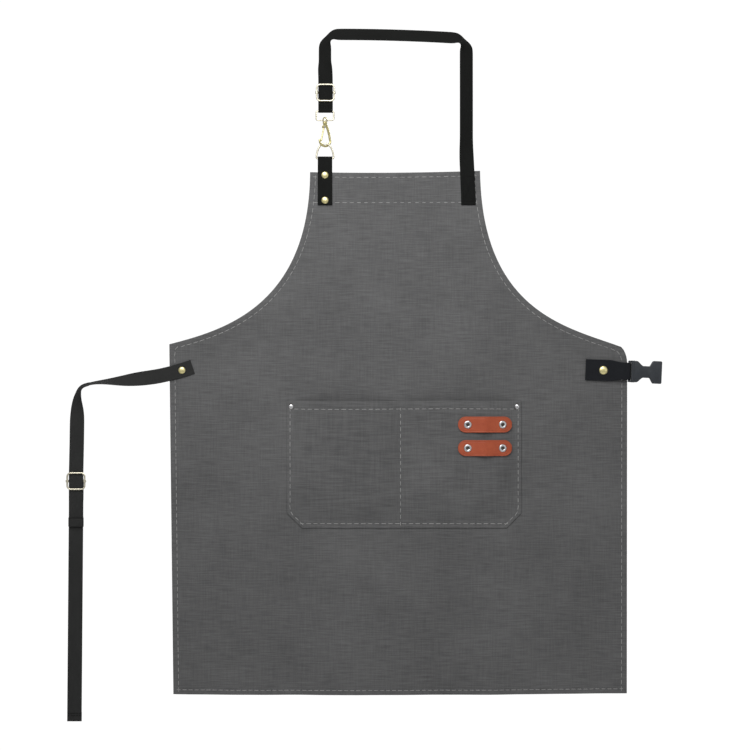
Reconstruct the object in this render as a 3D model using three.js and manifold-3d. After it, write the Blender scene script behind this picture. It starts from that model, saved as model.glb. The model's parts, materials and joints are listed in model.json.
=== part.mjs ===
// Bib apron with an adjustable neck strap on a swivel snap hook, a two-compartment pocket, two leather tool
// loops, a riveted waist strap with a slider, and a buckle socket on a webbing tab.
// Millimetres. +Z is up and the apron faces -Y. The origin is where it hangs: the underside of the top run of
// the neck strap, in the middle.
import * as THREE from "three";
import { mergeVertices } from "three/addons/utils/BufferGeometryUtils.js";
import Module from "manifold-3d";

// Cloth, webbing, leather and general clearances
const gap = 0.3; // between pieces that touch
const cloth = 1.0;
const webbing = 1.2;
const leather = 1.8;
const strapWidth = 19.5;

// Apron panel
const bibTop = -177.4; // height of the bib's top edge
const bibHalf = 114.2;
const bodyLength = 700;
const armholeDrop = 234; // from the bib's top edge to the waist corners
const waistLeft = 302.5;
const waistRight = 311.5;
const hemTaper = 5; // how much each side comes in from waist to bottom
const rightCorner = 26; // height over which the right waist corner is rounded
const hemWidth = 10;
const bibHem = 43;
const armholeStart = { in: 2.3, down: 190.5 }; // the armhole leaves the bib almost straight down
const armholeEnd = { in: 69.3, up: 26.7 }; // and reaches the waist corner almost level

// Pocket
const pocketLeft = -145.5;
const pocketRight = 169.7;
const pocketTop = -485;
const pocketHeight = 170.7;
const pocketChamfer = 20;
const pocketDivider = 7.3;
const pocketSeam = 9.5; // flat margin along the sewn sides and bottom
const pocketRivetInset = { side: 5.8, top: 7.4 };
const dividerSeam = 1.5;
const pocketBow = 8; // how far the open compartments stand out
const pocketRise = 45; // distance over which they come out

// Tool loops
const loopCentre = 120.5;
const loopLength = 72.8;
const loopHeight = 21.5;
const loopDrop = 31.5; // from the pocket's top edge to the upper loop
const loopPitch = 31.5;
const loopRivetInset = 13.2;
const loopBow = 2.4;

// Rivets: cap radius, cap height, post radius
const brassRivet = { cap: 4.9, height: 2.0, post: 1.5 };
const tabRivet = { cap: 5.9, height: 2.2, post: 1.8 };
const pocketRivet = { cap: 3.5, height: 1.4, post: 1.2 };
const loopRivet = { cap: 4.3, height: 1.3, post: 1.4 };
const backPlate = 1.0;

// Neck strap: a rounded loop standing on the bib
const neckHalf = 95.3;
const neckCorner = 17;
const neckTilt = 45; // degrees that the top run leans back
const neckCornerTilt = 62;
const neckLegTilt = 33;
const neckRise = 2.4; // each end of the top run above or below its middle
const sewnEnd = 44.3; // length of strap and tab over the bib
const neckFlat = 46; // the left leg is flat below this depth

// Sliders
const sliderHeight = 24.2;
const sliderWire = 1.0; // radius
const sliderCorner = 4.5;
const earWall = 0.7;
const earHeight = 3;
const neckSliderZ = -70.8;
const waistSliderZ = -592.5;

// Swivel snap hook and D-ring
const eyeZ = -95.2; // centre of the eye's top bar
const eyeHeight = 12.4; // between the centres of its bars
const eyeWire = 1.1;
const hubRadius = 3.0;
const hubHeight = 4.4;
const shankRadius = 1.3;
const hookWire = 1.4;
const hookHalf = 6.75; // half width of the bight's centreline
const hookDepth = 35; // from the eye's lower bar to the bight's lowest centreline
const hookYaw = 35; // degrees, so that the ring passes through the bight
const gateWire = 0.9;
const pinRadius = 0.7;
const ringWire = 1.2;
const ringHeight = 20.2;
const ringSlack = 1.3; // play between ring and bight
const ringMargin = 1.8; // webbing edge to the ring's wire

// Waist strap
const waistRivet = { x: -286.3, z: -443.6 };
const waistStart = 15; // strap past its rivet
const waistFall = 18; // degrees below level at the rivet
const waistTurnX = -428.5;
const waistTurnZ = -463;
const waistTail = 43; // strap below its slider
const waistBottom = -915;
const waistHem = 12;
const foldBack = 26; // sewn end round a slider's bar

// Buckle tab and socket
const buckleRivet = { x: 279.7, z: -443.6 };
const tabWidth = 28;
const tabNeck = 24; // width round the bar
const tabEnd = 24; // tab past its rivet, towards the middle
const barX = 314;
const barRadius = 1.5;
const armWall = 2.5;
const socketStart = 321.8;
const socketEnd = 357.7;
const socketHalf = 15;
const collarHalf = 14.6;
const socketWaist = 7.5;
const socketDepth = 10.4;
const socketWall = 2.2;
const socketCavity = 24.5; // depth of the socket from its mouth

const v = (x, y, z) => new THREE.Vector3(x, y, z);
const radians = THREE.MathUtils.degToRad;
const material = (color, roughness, metalness = 0) =>
  new THREE.MeshStandardMaterial({ color, roughness, metalness });
const canvas = material(0x5c5c5d, 0.95);
const darkWebbing = material(0x1d1e1d, 0.85);
const brownLeather = material(0xa34f38, 0.6);
const brass = material(0xd9cf9a, 0.3, 1);
const goldWire = material(0xe3dfc8, 0.25, 1);
const nickel = material(0xb9b9ba, 0.3, 1);
const plastic = material(0x2d3135, 0.45);

const apron = new THREE.Group();
const add = (name, geometry, finish, parent = apron) => {
  const mesh = new THREE.Mesh(geometry, finish);
  mesh.name = name;
  parent.add(mesh);
  return mesh;
};

// Solids: joining and cutting closed meshes
const wasm = await Module();
wasm.setup();

function solid(geometry) {
  const bare = new THREE.BufferGeometry();
  bare.setAttribute("position", geometry.getAttribute("position"));
  if (geometry.index) bare.setIndex(geometry.index);
  const merged = mergeVertices(bare, 1e-4);
  const vertProperties = merged.attributes.position.array;
  const triVerts = new Uint32Array(merged.index.array);
  return new wasm.Manifold(new wasm.Mesh({ numProp: 3, vertProperties, triVerts }));
}

function surface(body) {
  const made = body.getMesh();
  const geometry = new THREE.BufferGeometry();
  geometry.setAttribute("position", new THREE.BufferAttribute(made.vertProperties, 3));
  geometry.setIndex(new THREE.BufferAttribute(made.triVerts, 1));
  const flat = geometry.toNonIndexed();
  flat.computeVertexNormals();
  return flat;
}

const join = (...pieces) => surface(pieces.map(solid).reduce((a, b) => a.add(b)));
const cut = (piece, ...tools) =>
  surface(tools.map(solid).reduce((a, b) => a.subtract(b), solid(piece)));
const moved = (geometry, x, y, z) => geometry.clone().translate(x, y, z);

// A cylinder whose axis is along X, Y or Z
function rod(axis, radius, length, sides = 12) {
  const made = new THREE.CylinderGeometry(radius, radius, length, sides);
  if (axis === "x") made.rotateZ(Math.PI / 2);
  if (axis === "z") made.rotateX(Math.PI / 2);
  return made;
}

// Sweeps a section along stations {p, w, scale}: p is the centre, w the direction of the section's width.
function sweep(stations, section, closed = false) {
  const count = stations.length;
  const sides = section.length;
  const position = [];
  stations.forEach((station, i) => {
    const before = closed ? stations[(i + count - 1) % count] : stations[Math.max(i - 1, 0)];
    const after = closed ? stations[(i + 1) % count] : stations[Math.min(i + 1, count - 1)];
    const along = after.p.clone().sub(before.p).normalize();
    const across = station.w.clone().addScaledVector(along, -along.dot(station.w)).normalize();
    const normal = along.clone().cross(across);
    for (const [a, b] of section) {
      const wide = a * (station.scale ?? 1);
      position.push(...station.p.clone().addScaledVector(across, wide).addScaledVector(normal, b));
    }
  });
  const index = [];
  for (let i = 0; i < (closed ? count : count - 1); i++) {
    for (let j = 0; j < sides; j++) {
      const near = i * sides;
      const far = ((i + 1) % count) * sides;
      const next = (j + 1) % sides;
      index.push(near + j, near + next, far + next, near + j, far + next, far + j);
    }
  }
  for (let j = 1; j < sides - 1 && !closed; j++) {
    const end = (count - 1) * sides;
    index.push(0, j + 1, j, end, end + j, end + j + 1);
  }
  const geometry = new THREE.BufferGeometry();
  geometry.setAttribute("position", new THREE.Float32BufferAttribute(position, 3));
  geometry.setIndex(index);
  const flat = geometry.toNonIndexed();
  flat.computeVertexNormals();
  return flat;
}

const flatSection = (width, thickness) => [
  [-width / 2, -thickness / 2],
  [width / 2, -thickness / 2],
  [width / 2, thickness / 2],
  [-width / 2, thickness / 2],
];
const roundSection = (radius, sides = 8) =>
  Array.from({ length: sides }, (_, i) => {
    const angle = (2 * Math.PI * (i + 0.5)) / sides;
    return [radius * Math.cos(angle), radius * Math.sin(angle)];
  });

// Points on an arc from angle a to angle b in degrees, each given to place(cos, sin)
function arc(a, b, steps, place) {
  return Array.from({ length: steps + 1 }, (_, i) => {
    const angle = radians(a + ((b - a) * i) / steps);
    return place(Math.cos(angle), Math.sin(angle));
  });
}

// A closed ring of round wire on a rounded rectangle in the XZ plane, centred on its own middle
function rectangularRing(width, height, corner, wire) {
  const middle = { x: width / 2 - corner, z: height / 2 - corner };
  const quarters = [[1, 1, 0], [-1, 1, 90], [-1, -1, 180], [1, -1, 270]];
  const points = quarters.flatMap(([sx, sz, from]) =>
    arc(from, from + 90, 4, (c, s) => v(sx * middle.x + corner * c, 0, sz * middle.z + corner * s)),
  );
  return sweep(points.map((p) => ({ p, w: v(0, 1, 0) })), roundSection(wire), true);
}

// Rivets stand along Y. The front piece is a domed cap with its post, the back piece a ring round the post's end.
// front and back are the Y of the outer faces of what the rivet holds.
function rivet(name, size, front, back, finish, parent) {
  const seat = front - gap;
  const end = back + gap + backPlate;
  const cap = [[0, seat - size.height], [0.55, seat - 0.86 * size.height], [0.85, seat - 0.5 * size.height]];
  const profile = cap.map(([r, y]) => new THREE.Vector2(r * size.cap, y));
  profile.push(new THREE.Vector2(size.cap, seat), new THREE.Vector2(size.post, seat));
  profile.push(new THREE.Vector2(size.post, end), new THREE.Vector2(0, end));
  const plate = [
    [size.post + gap, back + gap],
    [size.cap * 0.92, back + gap],
    [size.cap * 0.7, end],
    [size.post + gap, end],
    [size.post + gap, back + gap],
  ].map(([r, y]) => new THREE.Vector2(r, y));
  add(name, new THREE.LatheGeometry(profile, 12), finish, parent);
  add(name + "_back", new THREE.LatheGeometry(plate, 12), finish, parent);
}
const rivetHole = (size) => rod("y", size.post + gap, 60, 10);

// Apron panel: one sheet with its edges turned to the back and sewn, and a deep hem across the bib's top
const waistZ = bibTop - armholeDrop;
const bottomZ = bibTop - bodyLength;

function armhole(side, half) {
  const curve = new THREE.CubicBezierCurve(
    new THREE.Vector2(side * bibHalf, bibTop),
    new THREE.Vector2(side * (bibHalf + armholeStart.in), bibTop - armholeStart.down),
    new THREE.Vector2(side * (half - armholeEnd.in), waistZ + armholeEnd.up),
    new THREE.Vector2(side * half, waistZ),
  );
  return curve.getPoints(16);
}

const outline = [
  ...armhole(-1, waistLeft),
  new THREE.Vector2(hemTaper - waistLeft, bottomZ),
  new THREE.Vector2(waistRight - hemTaper, bottomZ),
  ...arc(0, 60, 4, (c, s) =>
    new THREE.Vector2(waistRight - rightCorner * (1 - c) * 0.6, waistZ - rightCorner * (0.9 - s)),
  ),
  ...armhole(1, waistLeft).reverse().slice(1),
];

function inset(points, distance) {
  return points.map((point, i) => {
    const before = points[(i + points.length - 1) % points.length];
    const after = points[(i + 1) % points.length];
    const a = point.clone().sub(before).normalize();
    const b = after.clone().sub(point).normalize();
    const inward = new THREE.Vector2(-a.y - b.y, a.x + b.x).normalize();
    const reach = distance / Math.max(0.5, inward.dot(new THREE.Vector2(-a.y, a.x)));
    return point.clone().addScaledVector(inward, reach);
  });
}

// A plate in the XZ plane from y = front, thickness deep
function plate(points, holes, front, thickness) {
  const shape = new THREE.Shape(points);
  shape.holes = holes.map((hole) => new THREE.Path(hole));
  const made = new THREE.ExtrudeGeometry(shape, { depth: thickness, bevelEnabled: false });
  return made.rotateX(Math.PI / 2).translate(0, front + thickness, 0);
}

const panelFront = -cloth / 2;
const panelBack = cloth / 2;
const hemFloor = bibTop - bibHem;
const hemInner = inset(outline, hemWidth);
const bibFacing = [
  [-bibHalf, bibTop],
  [-bibHalf - 1, hemFloor],
  [bibHalf + 1, hemFloor],
  [bibHalf, bibTop],
].map(([x, z]) => new THREE.Vector2(x, z));
const turned = join(
  plate(outline, [], panelFront, cloth),
  plate(outline, [hemInner], 0, cloth / 2 + cloth),
  plate(bibFacing, [], 0, cloth / 2 + cloth),
);

const tabX = -neckHalf + 1.1;
const tabRivetZ = [bibTop - 4, bibTop - 37.8];
const pocketRivetPlaces = [pocketLeft + pocketRivetInset.side, pocketRight - pocketRivetInset.side].map(
  (x) => ({ x, z: pocketTop - pocketRivetInset.top }),
);
const panelHoles = [
  ...tabRivetZ.map((z) => moved(rivetHole(brassRivet), tabX, 0, z)),
  ...pocketRivetPlaces.map(({ x, z }) => moved(rivetHole(pocketRivet), x, 0, z)),
  moved(rivetHole(brassRivet), waistRivet.x, 0, waistRivet.z),
  moved(rivetHole(tabRivet), buckleRivet.x, 0, buckleRivet.z),
];
add("apron_panel", cut(turned, ...panelHoles), canvas);
const facingBack = cloth / 2 + cloth;

// Pocket: sewn down along its sides, its bottom and one divider, and standing out between them
const pocketBottom = pocketTop - pocketHeight;
const pocketFlat = panelFront - gap - cloth / 2;
const rise = (distance) => 1 - (1 - THREE.MathUtils.clamp(distance / pocketRise, 0, 1)) ** 2;

function pocketY(x, z) {
  const sides = Math.min(x - pocketLeft, pocketRight - x) - pocketSeam;
  const divider = Math.abs(x - pocketDivider) - dividerSeam;
  const bottom = z - pocketBottom - pocketSeam;
  const corner = (sides + bottom - pocketChamfer) / Math.SQRT2;
  const out = rise(Math.min(sides, divider)) * rise(bottom) * rise(corner + pocketSeam / 2);
  return pocketFlat - pocketBow * out;
}

const spread = (a, b, steps) => Array.from({ length: steps + 1 }, (_, i) => a + ((b - a) * i) / steps);
const pocketColumns = [
  pocketLeft,
  ...spread(pocketLeft + pocketSeam, pocketDivider - dividerSeam, 14),
  ...spread(pocketDivider + dividerSeam, pocketRight - pocketSeam, 20),
  pocketRight,
];
const pocketRows = [
  pocketBottom,
  ...spread(pocketBottom + pocketSeam, pocketBottom + pocketSeam + pocketRise, 5),
  pocketTop,
];

// A sheet over a grid of columns (X) and rows (Z), its middle surface at height(x, z) in Y
function sheet(columns, rows, thickness, height) {
  const wide = columns.length;
  const position = [];
  for (const face of [-thickness / 2, thickness / 2])
    for (const z of rows) for (const x of columns) position.push(x, height(x, z) + face, z);
  const half = wide * rows.length;
  const at = (i, j, back) => j * wide + i + (back ? half : 0);
  const index = [];
  const quad = (a, b, c, d) => index.push(a, b, c, a, c, d);
  for (let j = 0; j < rows.length - 1; j++) {
    for (let i = 0; i < wide - 1; i++) {
      quad(at(i, j, 0), at(i + 1, j, 0), at(i + 1, j + 1, 0), at(i, j + 1, 0));
      quad(at(i, j, 1), at(i, j + 1, 1), at(i + 1, j + 1, 1), at(i + 1, j, 1));
    }
    quad(at(0, j, 1), at(0, j, 0), at(0, j + 1, 0), at(0, j + 1, 1));
    quad(at(wide - 1, j, 0), at(wide - 1, j, 1), at(wide - 1, j + 1, 1), at(wide - 1, j + 1, 0));
  }
  for (let i = 0; i < wide - 1; i++) {
    const top = rows.length - 1;
    quad(at(i, 0, 1), at(i + 1, 0, 1), at(i + 1, 0, 0), at(i, 0, 0));
    quad(at(i, top, 0), at(i + 1, top, 0), at(i + 1, top, 1), at(i, top, 1));
  }
  const geometry = new THREE.BufferGeometry();
  geometry.setAttribute("position", new THREE.Float32BufferAttribute(position, 3));
  geometry.setIndex(index);
  return geometry;
}

// A prism that takes off one lower corner of the pocket
function cornerCutter(x, side) {
  const past = pocketChamfer + 1;
  const points = [
    new THREE.Vector2(x + side, pocketBottom + past),
    new THREE.Vector2(x + side, pocketBottom - 1),
    new THREE.Vector2(x - side * past, pocketBottom - 1),
  ];
  return plate(side < 0 ? points : points.reverse(), [], -40, 80);
}

// Places a piece on the pocket's bowed front, turned to the cloth's slope at x
const loopZ = [pocketTop - loopDrop, pocketTop - loopDrop - loopPitch];
const loopRivetX = [-1, 1].map((side) => loopCentre + side * (loopLength / 2 - loopRivetInset));
const slopeAt = (x) => Math.atan((pocketY(x + 1, loopZ[0]) - pocketY(x - 1, loopZ[0])) / 2);
function onPocket(piece, x, z) {
  piece.rotation.z = slopeAt(x);
  piece.position.set(x, pocketY(x, z), z);
  piece.updateMatrix();
  return piece;
}
const loopHoles = loopZ.flatMap((z) =>
  loopRivetX.map((x) => {
    const tool = onPocket(new THREE.Object3D(), x, z);
    return rod("y", loopRivet.post + gap, 12, 10).applyMatrix4(tool.matrix);
  }),
);
const pocketHoles = pocketRivetPlaces.map(({ x, z }) => moved(rivetHole(pocketRivet), x, 0, z));
const pocketCloth = cut(
  sheet(pocketColumns, pocketRows, cloth, pocketY),
  cornerCutter(pocketLeft, -1),
  cornerCutter(pocketRight, 1),
  ...pocketHoles,
  ...loopHoles,
);
add("pocket_panel", pocketCloth, canvas);
pocketRivetPlaces.forEach(({ x, z }, i) => {
  const place = new THREE.Group();
  place.position.set(x, 0, z);
  apron.add(place);
  const name = ["pocket_rivet_left", "pocket_rivet_right"][i];
  rivet(name, pocketRivet, pocketFlat - cloth / 2, panelBack, nickel, place);
});

// Tool loops: round-ended leather strips riveted to the pocket near both ends, and bowed between
loopZ.forEach((z, row) => {
  const name = ["upper", "lower"][row];
  const free = loopLength / 2 - loopRivetInset - loopRivet.cap;
  const round = loopHeight / 2;
  const steps = [...spread(0.3, round, 6), ...spread(round, loopLength / 2, 9).slice(1)];
  const along = [...steps, ...steps.slice(0, -1).reverse().map((s) => loopLength - s)];
  const stations = along.map((s) => {
    const x = loopCentre - loopLength / 2 + s;
    const off = x - loopCentre;
    const bow = Math.abs(off) < free ? loopBow * Math.cos((Math.PI * off) / (2 * free)) ** 2 : 0;
    const slope = Math.cos(slopeAt(x));
    const y = pocketY(x, z) - (cloth / 2 + gap + leather / 2) / slope - bow;
    const edge = Math.min(s, loopLength - s, round);
    return { p: v(x, y, z), w: v(0, 0, 1), scale: Math.sqrt(round ** 2 - (round - edge) ** 2) / round };
  });
  const strip = sweep(stations, flatSection(loopHeight, leather));
  add("tool_loop_" + name, cut(strip, ...loopHoles), brownLeather);
  loopRivetX.forEach((x, i) => {
    const place = onPocket(new THREE.Group(), x, z);
    apron.add(place);
    const front = -cloth / 2 - gap - leather;
    rivet("loop_rivet_" + name + "_" + ["left", "right"][i], loopRivet, front, cloth / 2, nickel, place);
  });
});

// Neck tab: webbing folded over the D-ring's bar, one end on the front of the bib and one on the back
const chainY = 0.5; // the plane of the ring and the hook's axis
const webbingHalf = webbing / 2;
const tabRadius = ringWire + gap + webbingHalf;
const hookBottom = eyeZ - eyeHeight - hookDepth;
const ringTop = hookBottom + hookWire + ringSlack + ringWire;
const ringBarZ = ringTop - ringHeight;
const tabLowZ = bibTop - sewnEnd;
const foldPoints = (y, z, radius, low, high) => [
  v(0, y - radius, low),
  ...arc(180, 0, 8, (c, s) => v(0, y + radius * c, z + radius * s)),
  v(0, y + radius, high),
];
const upright = (points, x) => points.map((p) => ({ p: p.add(v(x, 0, 0)), w: v(1, 0, 0) }));
const tabStrip = sweep(
  upright(foldPoints(chainY, ringBarZ, tabRadius, tabLowZ, tabLowZ), tabX),
  flatSection(strapWidth, webbing),
);
const tabHoles = tabRivetZ.map((z) => moved(rivetHole(brassRivet), tabX, 0, z));
add("neck_tab", cut(tabStrip, ...tabHoles), darkWebbing);
tabRivetZ.forEach((z, i) => {
  const place = new THREE.Group();
  place.position.set(tabX, 0, z);
  apron.add(place);
  const outer = tabRadius + webbingHalf;
  rivet("neck_rivet_" + ["upper", "lower"][i], brassRivet, chainY - outer, chainY + outer, brass, place);
});

// D-ring: a straight bar in the tab's fold under a half ellipse
const ringHalf = strapWidth / 2 + ringMargin;
const ringPoints = [
  ...spread(-ringHalf + 0.9, ringHalf - 0.9, 4).map((x) => v(x, 0, 0)),
  ...arc(6, 174, 16, (c, s) => v(ringHalf * c, 0, ringHeight * s)),
].reverse();
const dRing = sweep(ringPoints.map((p) => ({ p, w: v(0, 1, 0) })), roundSection(ringWire), true);
add("d_ring", dRing.translate(tabX, chainY, ringBarZ), goldWire);

// Swivel eye: a rectangular ring with a bored hub in its lower bar
const eyeWidth = strapWidth + 2 * gap + 2 * eyeWire + 1.2;
const hubZ = eyeZ - eyeHeight;
const eyeRing = rectangularRing(eyeWidth, eyeHeight, 2.6, eyeWire).translate(0, 0, eyeZ - eyeHeight / 2);
const hub = rod("z", hubRadius, hubHeight, 16).translate(0, 0, hubZ);
const hubBore = rod("z", shankRadius + gap, hubHeight + 2, 16).translate(0, 0, hubZ);
add("swivel_eye", cut(join(eyeRing, hub), hubBore).translate(tabX, chainY, 0), goldWire);

// Snap hook: a shank with a head above the hub, a collar, and a wire bight with ears for the gate's pin
const hookFrame = new THREE.Group();
hookFrame.position.set(tabX, chainY, 0);
hookFrame.rotation.z = radians(hookYaw);
apron.add(hookFrame);
const hubTop = hubZ + hubHeight / 2 + gap;
const hubFloor = hubZ - hubHeight / 2 - gap;
const collarZ = hubFloor - 4.4;
const shank = new THREE.LatheGeometry(
  [
    [0, collarZ],
    [2.2, collarZ],
    [3.0, hubFloor - 2],
    [3.1, hubFloor],
    [shankRadius, hubFloor],
    [shankRadius, hubTop],
    [2.5, hubTop],
    [1.7, hubTop + 1.4],
    [0, hubTop + 1.8],
  ].map(([r, z]) => new THREE.Vector2(r, z)),
  14,
).rotateX(Math.PI / 2);
const bightZ = hookBottom + hookHalf;
const pinPlace = { x: -1.9, z: collarZ - 2.2 };
const bight = [
  v(0.6, 0, collarZ + 2),
  v(1.5, 0, collarZ - 1),
  v(hookHalf * 0.62, 0, (collarZ + bightZ) / 2),
  ...arc(8, -180, 12, (c, s) => v(hookHalf * c, 0, bightZ + hookHalf * s)),
  v(-hookHalf - 0.45, 0, bightZ + 2.4),
];
const bightWire = sweep(bight.map((p) => ({ p, w: v(0, 1, 0) })), roundSection(hookWire));
const gateEye = 1.2; // width of the gate's eye along its pin
const earInner = 1.0;
const earThick = 0.9;
const ear = (side) => {
  const y = side * (earInner + earThick / 2);
  const lobe = rod("y", 1.9, earThick, 14).translate(pinPlace.x, y, pinPlace.z);
  const web = new THREE.BoxGeometry(3.2, earThick, 3.6).translate(pinPlace.x + 1.3, y, pinPlace.z + 1.6);
  return [lobe, web];
};
const pinBore = rod("y", pinRadius + gap, 12, 12).translate(pinPlace.x, 0, pinPlace.z);
const gateRoom = new THREE.BoxGeometry(4.4, 2 * earInner, 4.6);
const slotTool = gateRoom.translate(pinPlace.x - 0.3, 0, pinPlace.z - 0.1);
add("hook_body", cut(join(shank, bightWire, ...ear(-1), ...ear(1)), slotTool, pinBore), goldWire, hookFrame);

const headY = earInner + earThick + gap;
const pinProfile = [
  [0, -headY - 0.5],
  [1.2, -headY - 0.4],
  [1.3, -headY],
  [pinRadius, -headY],
  [pinRadius, headY],
  [1.3, headY],
  [1.2, headY + 0.4],
  [0, headY + 0.5],
].map(([r, y]) => new THREE.Vector2(r, y));
const pinGeometry = new THREE.LatheGeometry(pinProfile, 12).translate(pinPlace.x, 0, pinPlace.z);
add("gate_pin", pinGeometry, nickel, hookFrame);

const gateEyeY = -earInner + gap + gateEye / 2 - 0.1;
const gateEnd = v(-hookHalf + 2.45, gateEyeY * 0.2, bightZ - 0.2);
const gateTop = v(pinPlace.x, gateEyeY, pinPlace.z);
const gateLine = [0.075, 0.3, 1].map((t) => gateTop.clone().lerp(gateEnd, t));
const gateBar = sweep(
  gateLine.map((p, i) => ({ p, w: v(0, 1, 0), scale: i ? 1 : 0.62 })),
  roundSection(gateWire),
);
const gateLobe = rod("y", 1.55, gateEye, 14).translate(pinPlace.x, gateEyeY, pinPlace.z);
add("hook_gate", cut(join(gateBar, gateLobe), pinBore), goldWire, hookFrame);

const springIn = gateEyeY + gateEye / 2 + 0.15;
const springOut = earInner - 0.15;
const springProfile = [
  [pinRadius + 0.25, springIn],
  [1.5, springIn],
  [1.5, springOut],
  [pinRadius + 0.25, springOut],
  [pinRadius + 0.25, springIn],
].map(([r, y]) => new THREE.Vector2(r, y));
const springGeometry = new THREE.LatheGeometry(springProfile, 12).translate(pinPlace.x, 0, pinPlace.z);
add("gate_spring", springGeometry, nickel, hookFrame);

// Neck strap: sewn to the right of the bib, over the top, and down through the slider and round the eye
const eyeFold = eyeWire + gap + webbingHalf;
const strapY = chainY - eyeFold;
const sewnY = panelFront - gap - webbingHalf;
const runZ = (strapWidth / 2) * Math.cos(radians(neckTilt)) + webbingHalf * Math.sin(radians(neckTilt));
const rightX = neckHalf + 0.4;
const leftX = tabX;
const smooth = (a, b, t) => THREE.MathUtils.smoothstep(t, Math.min(a, b), Math.max(a, b));
const strapTurn = (along, tilt) => {
  const flatAcross = v(0, 1, 0).cross(along).normalize();
  return flatAcross.multiplyScalar(Math.cos(radians(tilt))).add(v(0, Math.sin(radians(tilt)), 0));
};
const legStations = (x, heights, y, tilt, upward) =>
  heights.map((z) => ({ p: v(x(z), y(z), z), w: strapTurn(v(0, 0, upward), tilt(z)) }));
const legTop = runZ - neckCorner;
const lean = (z) => rightX + 2.8 * (1 - smooth(tabLowZ, legTop, z));
const rightLeg = legStations(
  lean,
  [tabLowZ, ...spread(bibTop + 4, legTop + neckRise * -1, 12)],
  (z) => sewnY - (strapWidth / 2) * 0.12 * Math.sin(Math.PI * smooth(bibTop, legTop, z)),
  (z) => neckLegTilt * smooth(bibTop, bibTop + 60, z) + (neckCornerTilt - neckLegTilt) * smooth(-30, legTop, z),
  1,
);
const cornerStations = (x, side, high) =>
  arc(side > 0 ? 0 : 90, side > 0 ? 90 : 180, 8, (c, s) => ({
    p: v(x - side * neckCorner + neckCorner * c, sewnY, high - neckCorner + neckCorner * s),
    w: strapTurn(v(-s, 0, c), neckCornerTilt),
  })).slice(1, -1);
const topRun = spread(rightX - neckCorner, leftX + neckCorner, 10).map((x) => {
  const t = (rightX - neckCorner - x) / (rightX - leftX - 2 * neckCorner);
  const near = Math.min(smooth(0, 0.22, t), 1 - smooth(0.78, 1, t));
  const tilt = neckCornerTilt + (neckTilt - neckCornerTilt) * near;
  return { p: v(x, sewnY, runZ + neckRise * (2 * t - 1)), w: strapTurn(v(-1, 0, 0), tilt) };
});
const leftLeg = legStations(
  () => leftX,
  spread(legTop + neckRise, -neckFlat, 6),
  () => strapY,
  (z) => neckCornerTilt * smooth(-neckFlat, legTop + neckRise, z),
  -1,
);
const eyeWrap = arc(180, 350, 8, (c, s) => ({
  p: v(leftX, chainY + eyeFold * c, eyeZ + eyeFold * s),
  w: v(-1, 0, 0),
}));
const strapEnd = { p: v(leftX, chainY + eyeFold, eyeZ + 1.2), w: v(-1, 0, 0) };
const neckStrap = sweep(
  [
    ...rightLeg,
    ...cornerStations(rightX, 1, runZ - neckRise),
    ...topRun,
    ...cornerStations(leftX, -1, runZ + neckRise),
    ...leftLeg,
    ...eyeWrap,
    strapEnd,
  ],
  flatSection(strapWidth, webbing),
);
add("neck_strap", neckStrap, darkWebbing);

// Sliders: a wire frame in front of the strap, and a bar behind it whose ends are eyes on the frame's sides
const barFold = sliderWire + gap + webbingHalf;
const frameBack = sliderWire + gap + webbingHalf; // frame's plane to the strap's middle
const barBack = webbingHalf + gap + webbing + gap + sliderWire; // strap's middle to the bar
const earRadius = sliderWire + gap + earWall;
const sideWire = strapWidth / 2 + gap + earRadius;

function slider(name, x, y, z) {
  const frame = rectangularRing(2 * sideWire, sliderHeight - 2 * sliderWire, sliderCorner, sliderWire);
  add(name + "_frame", frame.translate(x, y - frameBack, z), goldWire);
  const depth = frameBack + barBack;
  const bar = rod("x", sliderWire, 2 * sideWire, 10).translate(0, depth, 0);
  const arms = [-1, 1].flatMap((side) => {
    const eye = rod("z", earRadius, earHeight, 14).translate(side * sideWire, 0, 0);
    const long = depth - sliderWire;
    const strut = new THREE.BoxGeometry(1.8, long, 2 * sliderWire - 0.2);
    return [eye, strut.translate(side * (sideWire + 0.2), long / 2 + sliderWire + 0.3, 0)];
  });
  const bores = [-1, 1].map((side) => rod("z", sliderWire + gap, 20, 12).translate(side * sideWire, 0, 0));
  add(name + "_bar", cut(join(bar, ...arms), ...bores).translate(x, y - frameBack, z), goldWire);
}
slider("neck_slider", leftX, strapY, neckSliderZ);

// Sewn back layer of the neck strap: up from the eye and round the slider's bar
const neckBarY = strapY + barBack;
const returnLow = strapEnd.p.z + gap;
const neckReturn = [
  v(0, strapEnd.p.y, returnLow),
  v(0, strapEnd.p.y + 0.4, returnLow + 4),
  v(0, neckBarY + barFold, neckSliderZ - 8),
  ...arc(0, 180, 8, (c, s) => v(0, neckBarY + barFold * c, neckSliderZ + barFold * s)),
  v(0, neckBarY - barFold, neckSliderZ - 10),
];
add("neck_strap_return", sweep(upright(neckReturn, leftX), flatSection(strapWidth, webbing)), darkWebbing);

// Waist strap: out from its rivet, on edge round the turn, and flat down through its slider
const waistY = sewnY;
const start = {
  x: waistRivet.x + waistStart * Math.cos(radians(waistFall)),
  z: waistRivet.z + waistStart * Math.sin(radians(waistFall)),
};
const straightTop = waistTurnZ - 80; // flat below this height
const waistRoute = new THREE.CatmullRomCurve3(
  [
    v(start.x, waistY, start.z),
    v(waistRivet.x, waistY, waistRivet.z),
    v(waistRivet.x - 30, waistY, waistRivet.z - 7.6),
    v(waistRivet.x - 72, waistY, waistRivet.z - 13.2),
    v(waistTurnX + 20, waistY, waistTurnZ + 1.5),
    v(waistTurnX + 6.5, waistY, waistTurnZ - 4),
    v(waistTurnX + 1.5, waistY, waistTurnZ - 16),
    v(waistTurnX, waistY, waistTurnZ - 42),
    v(waistTurnX, waistY, straightTop),
  ],
  false,
  "centripetal",
);
const waistSteps = 44;
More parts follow.
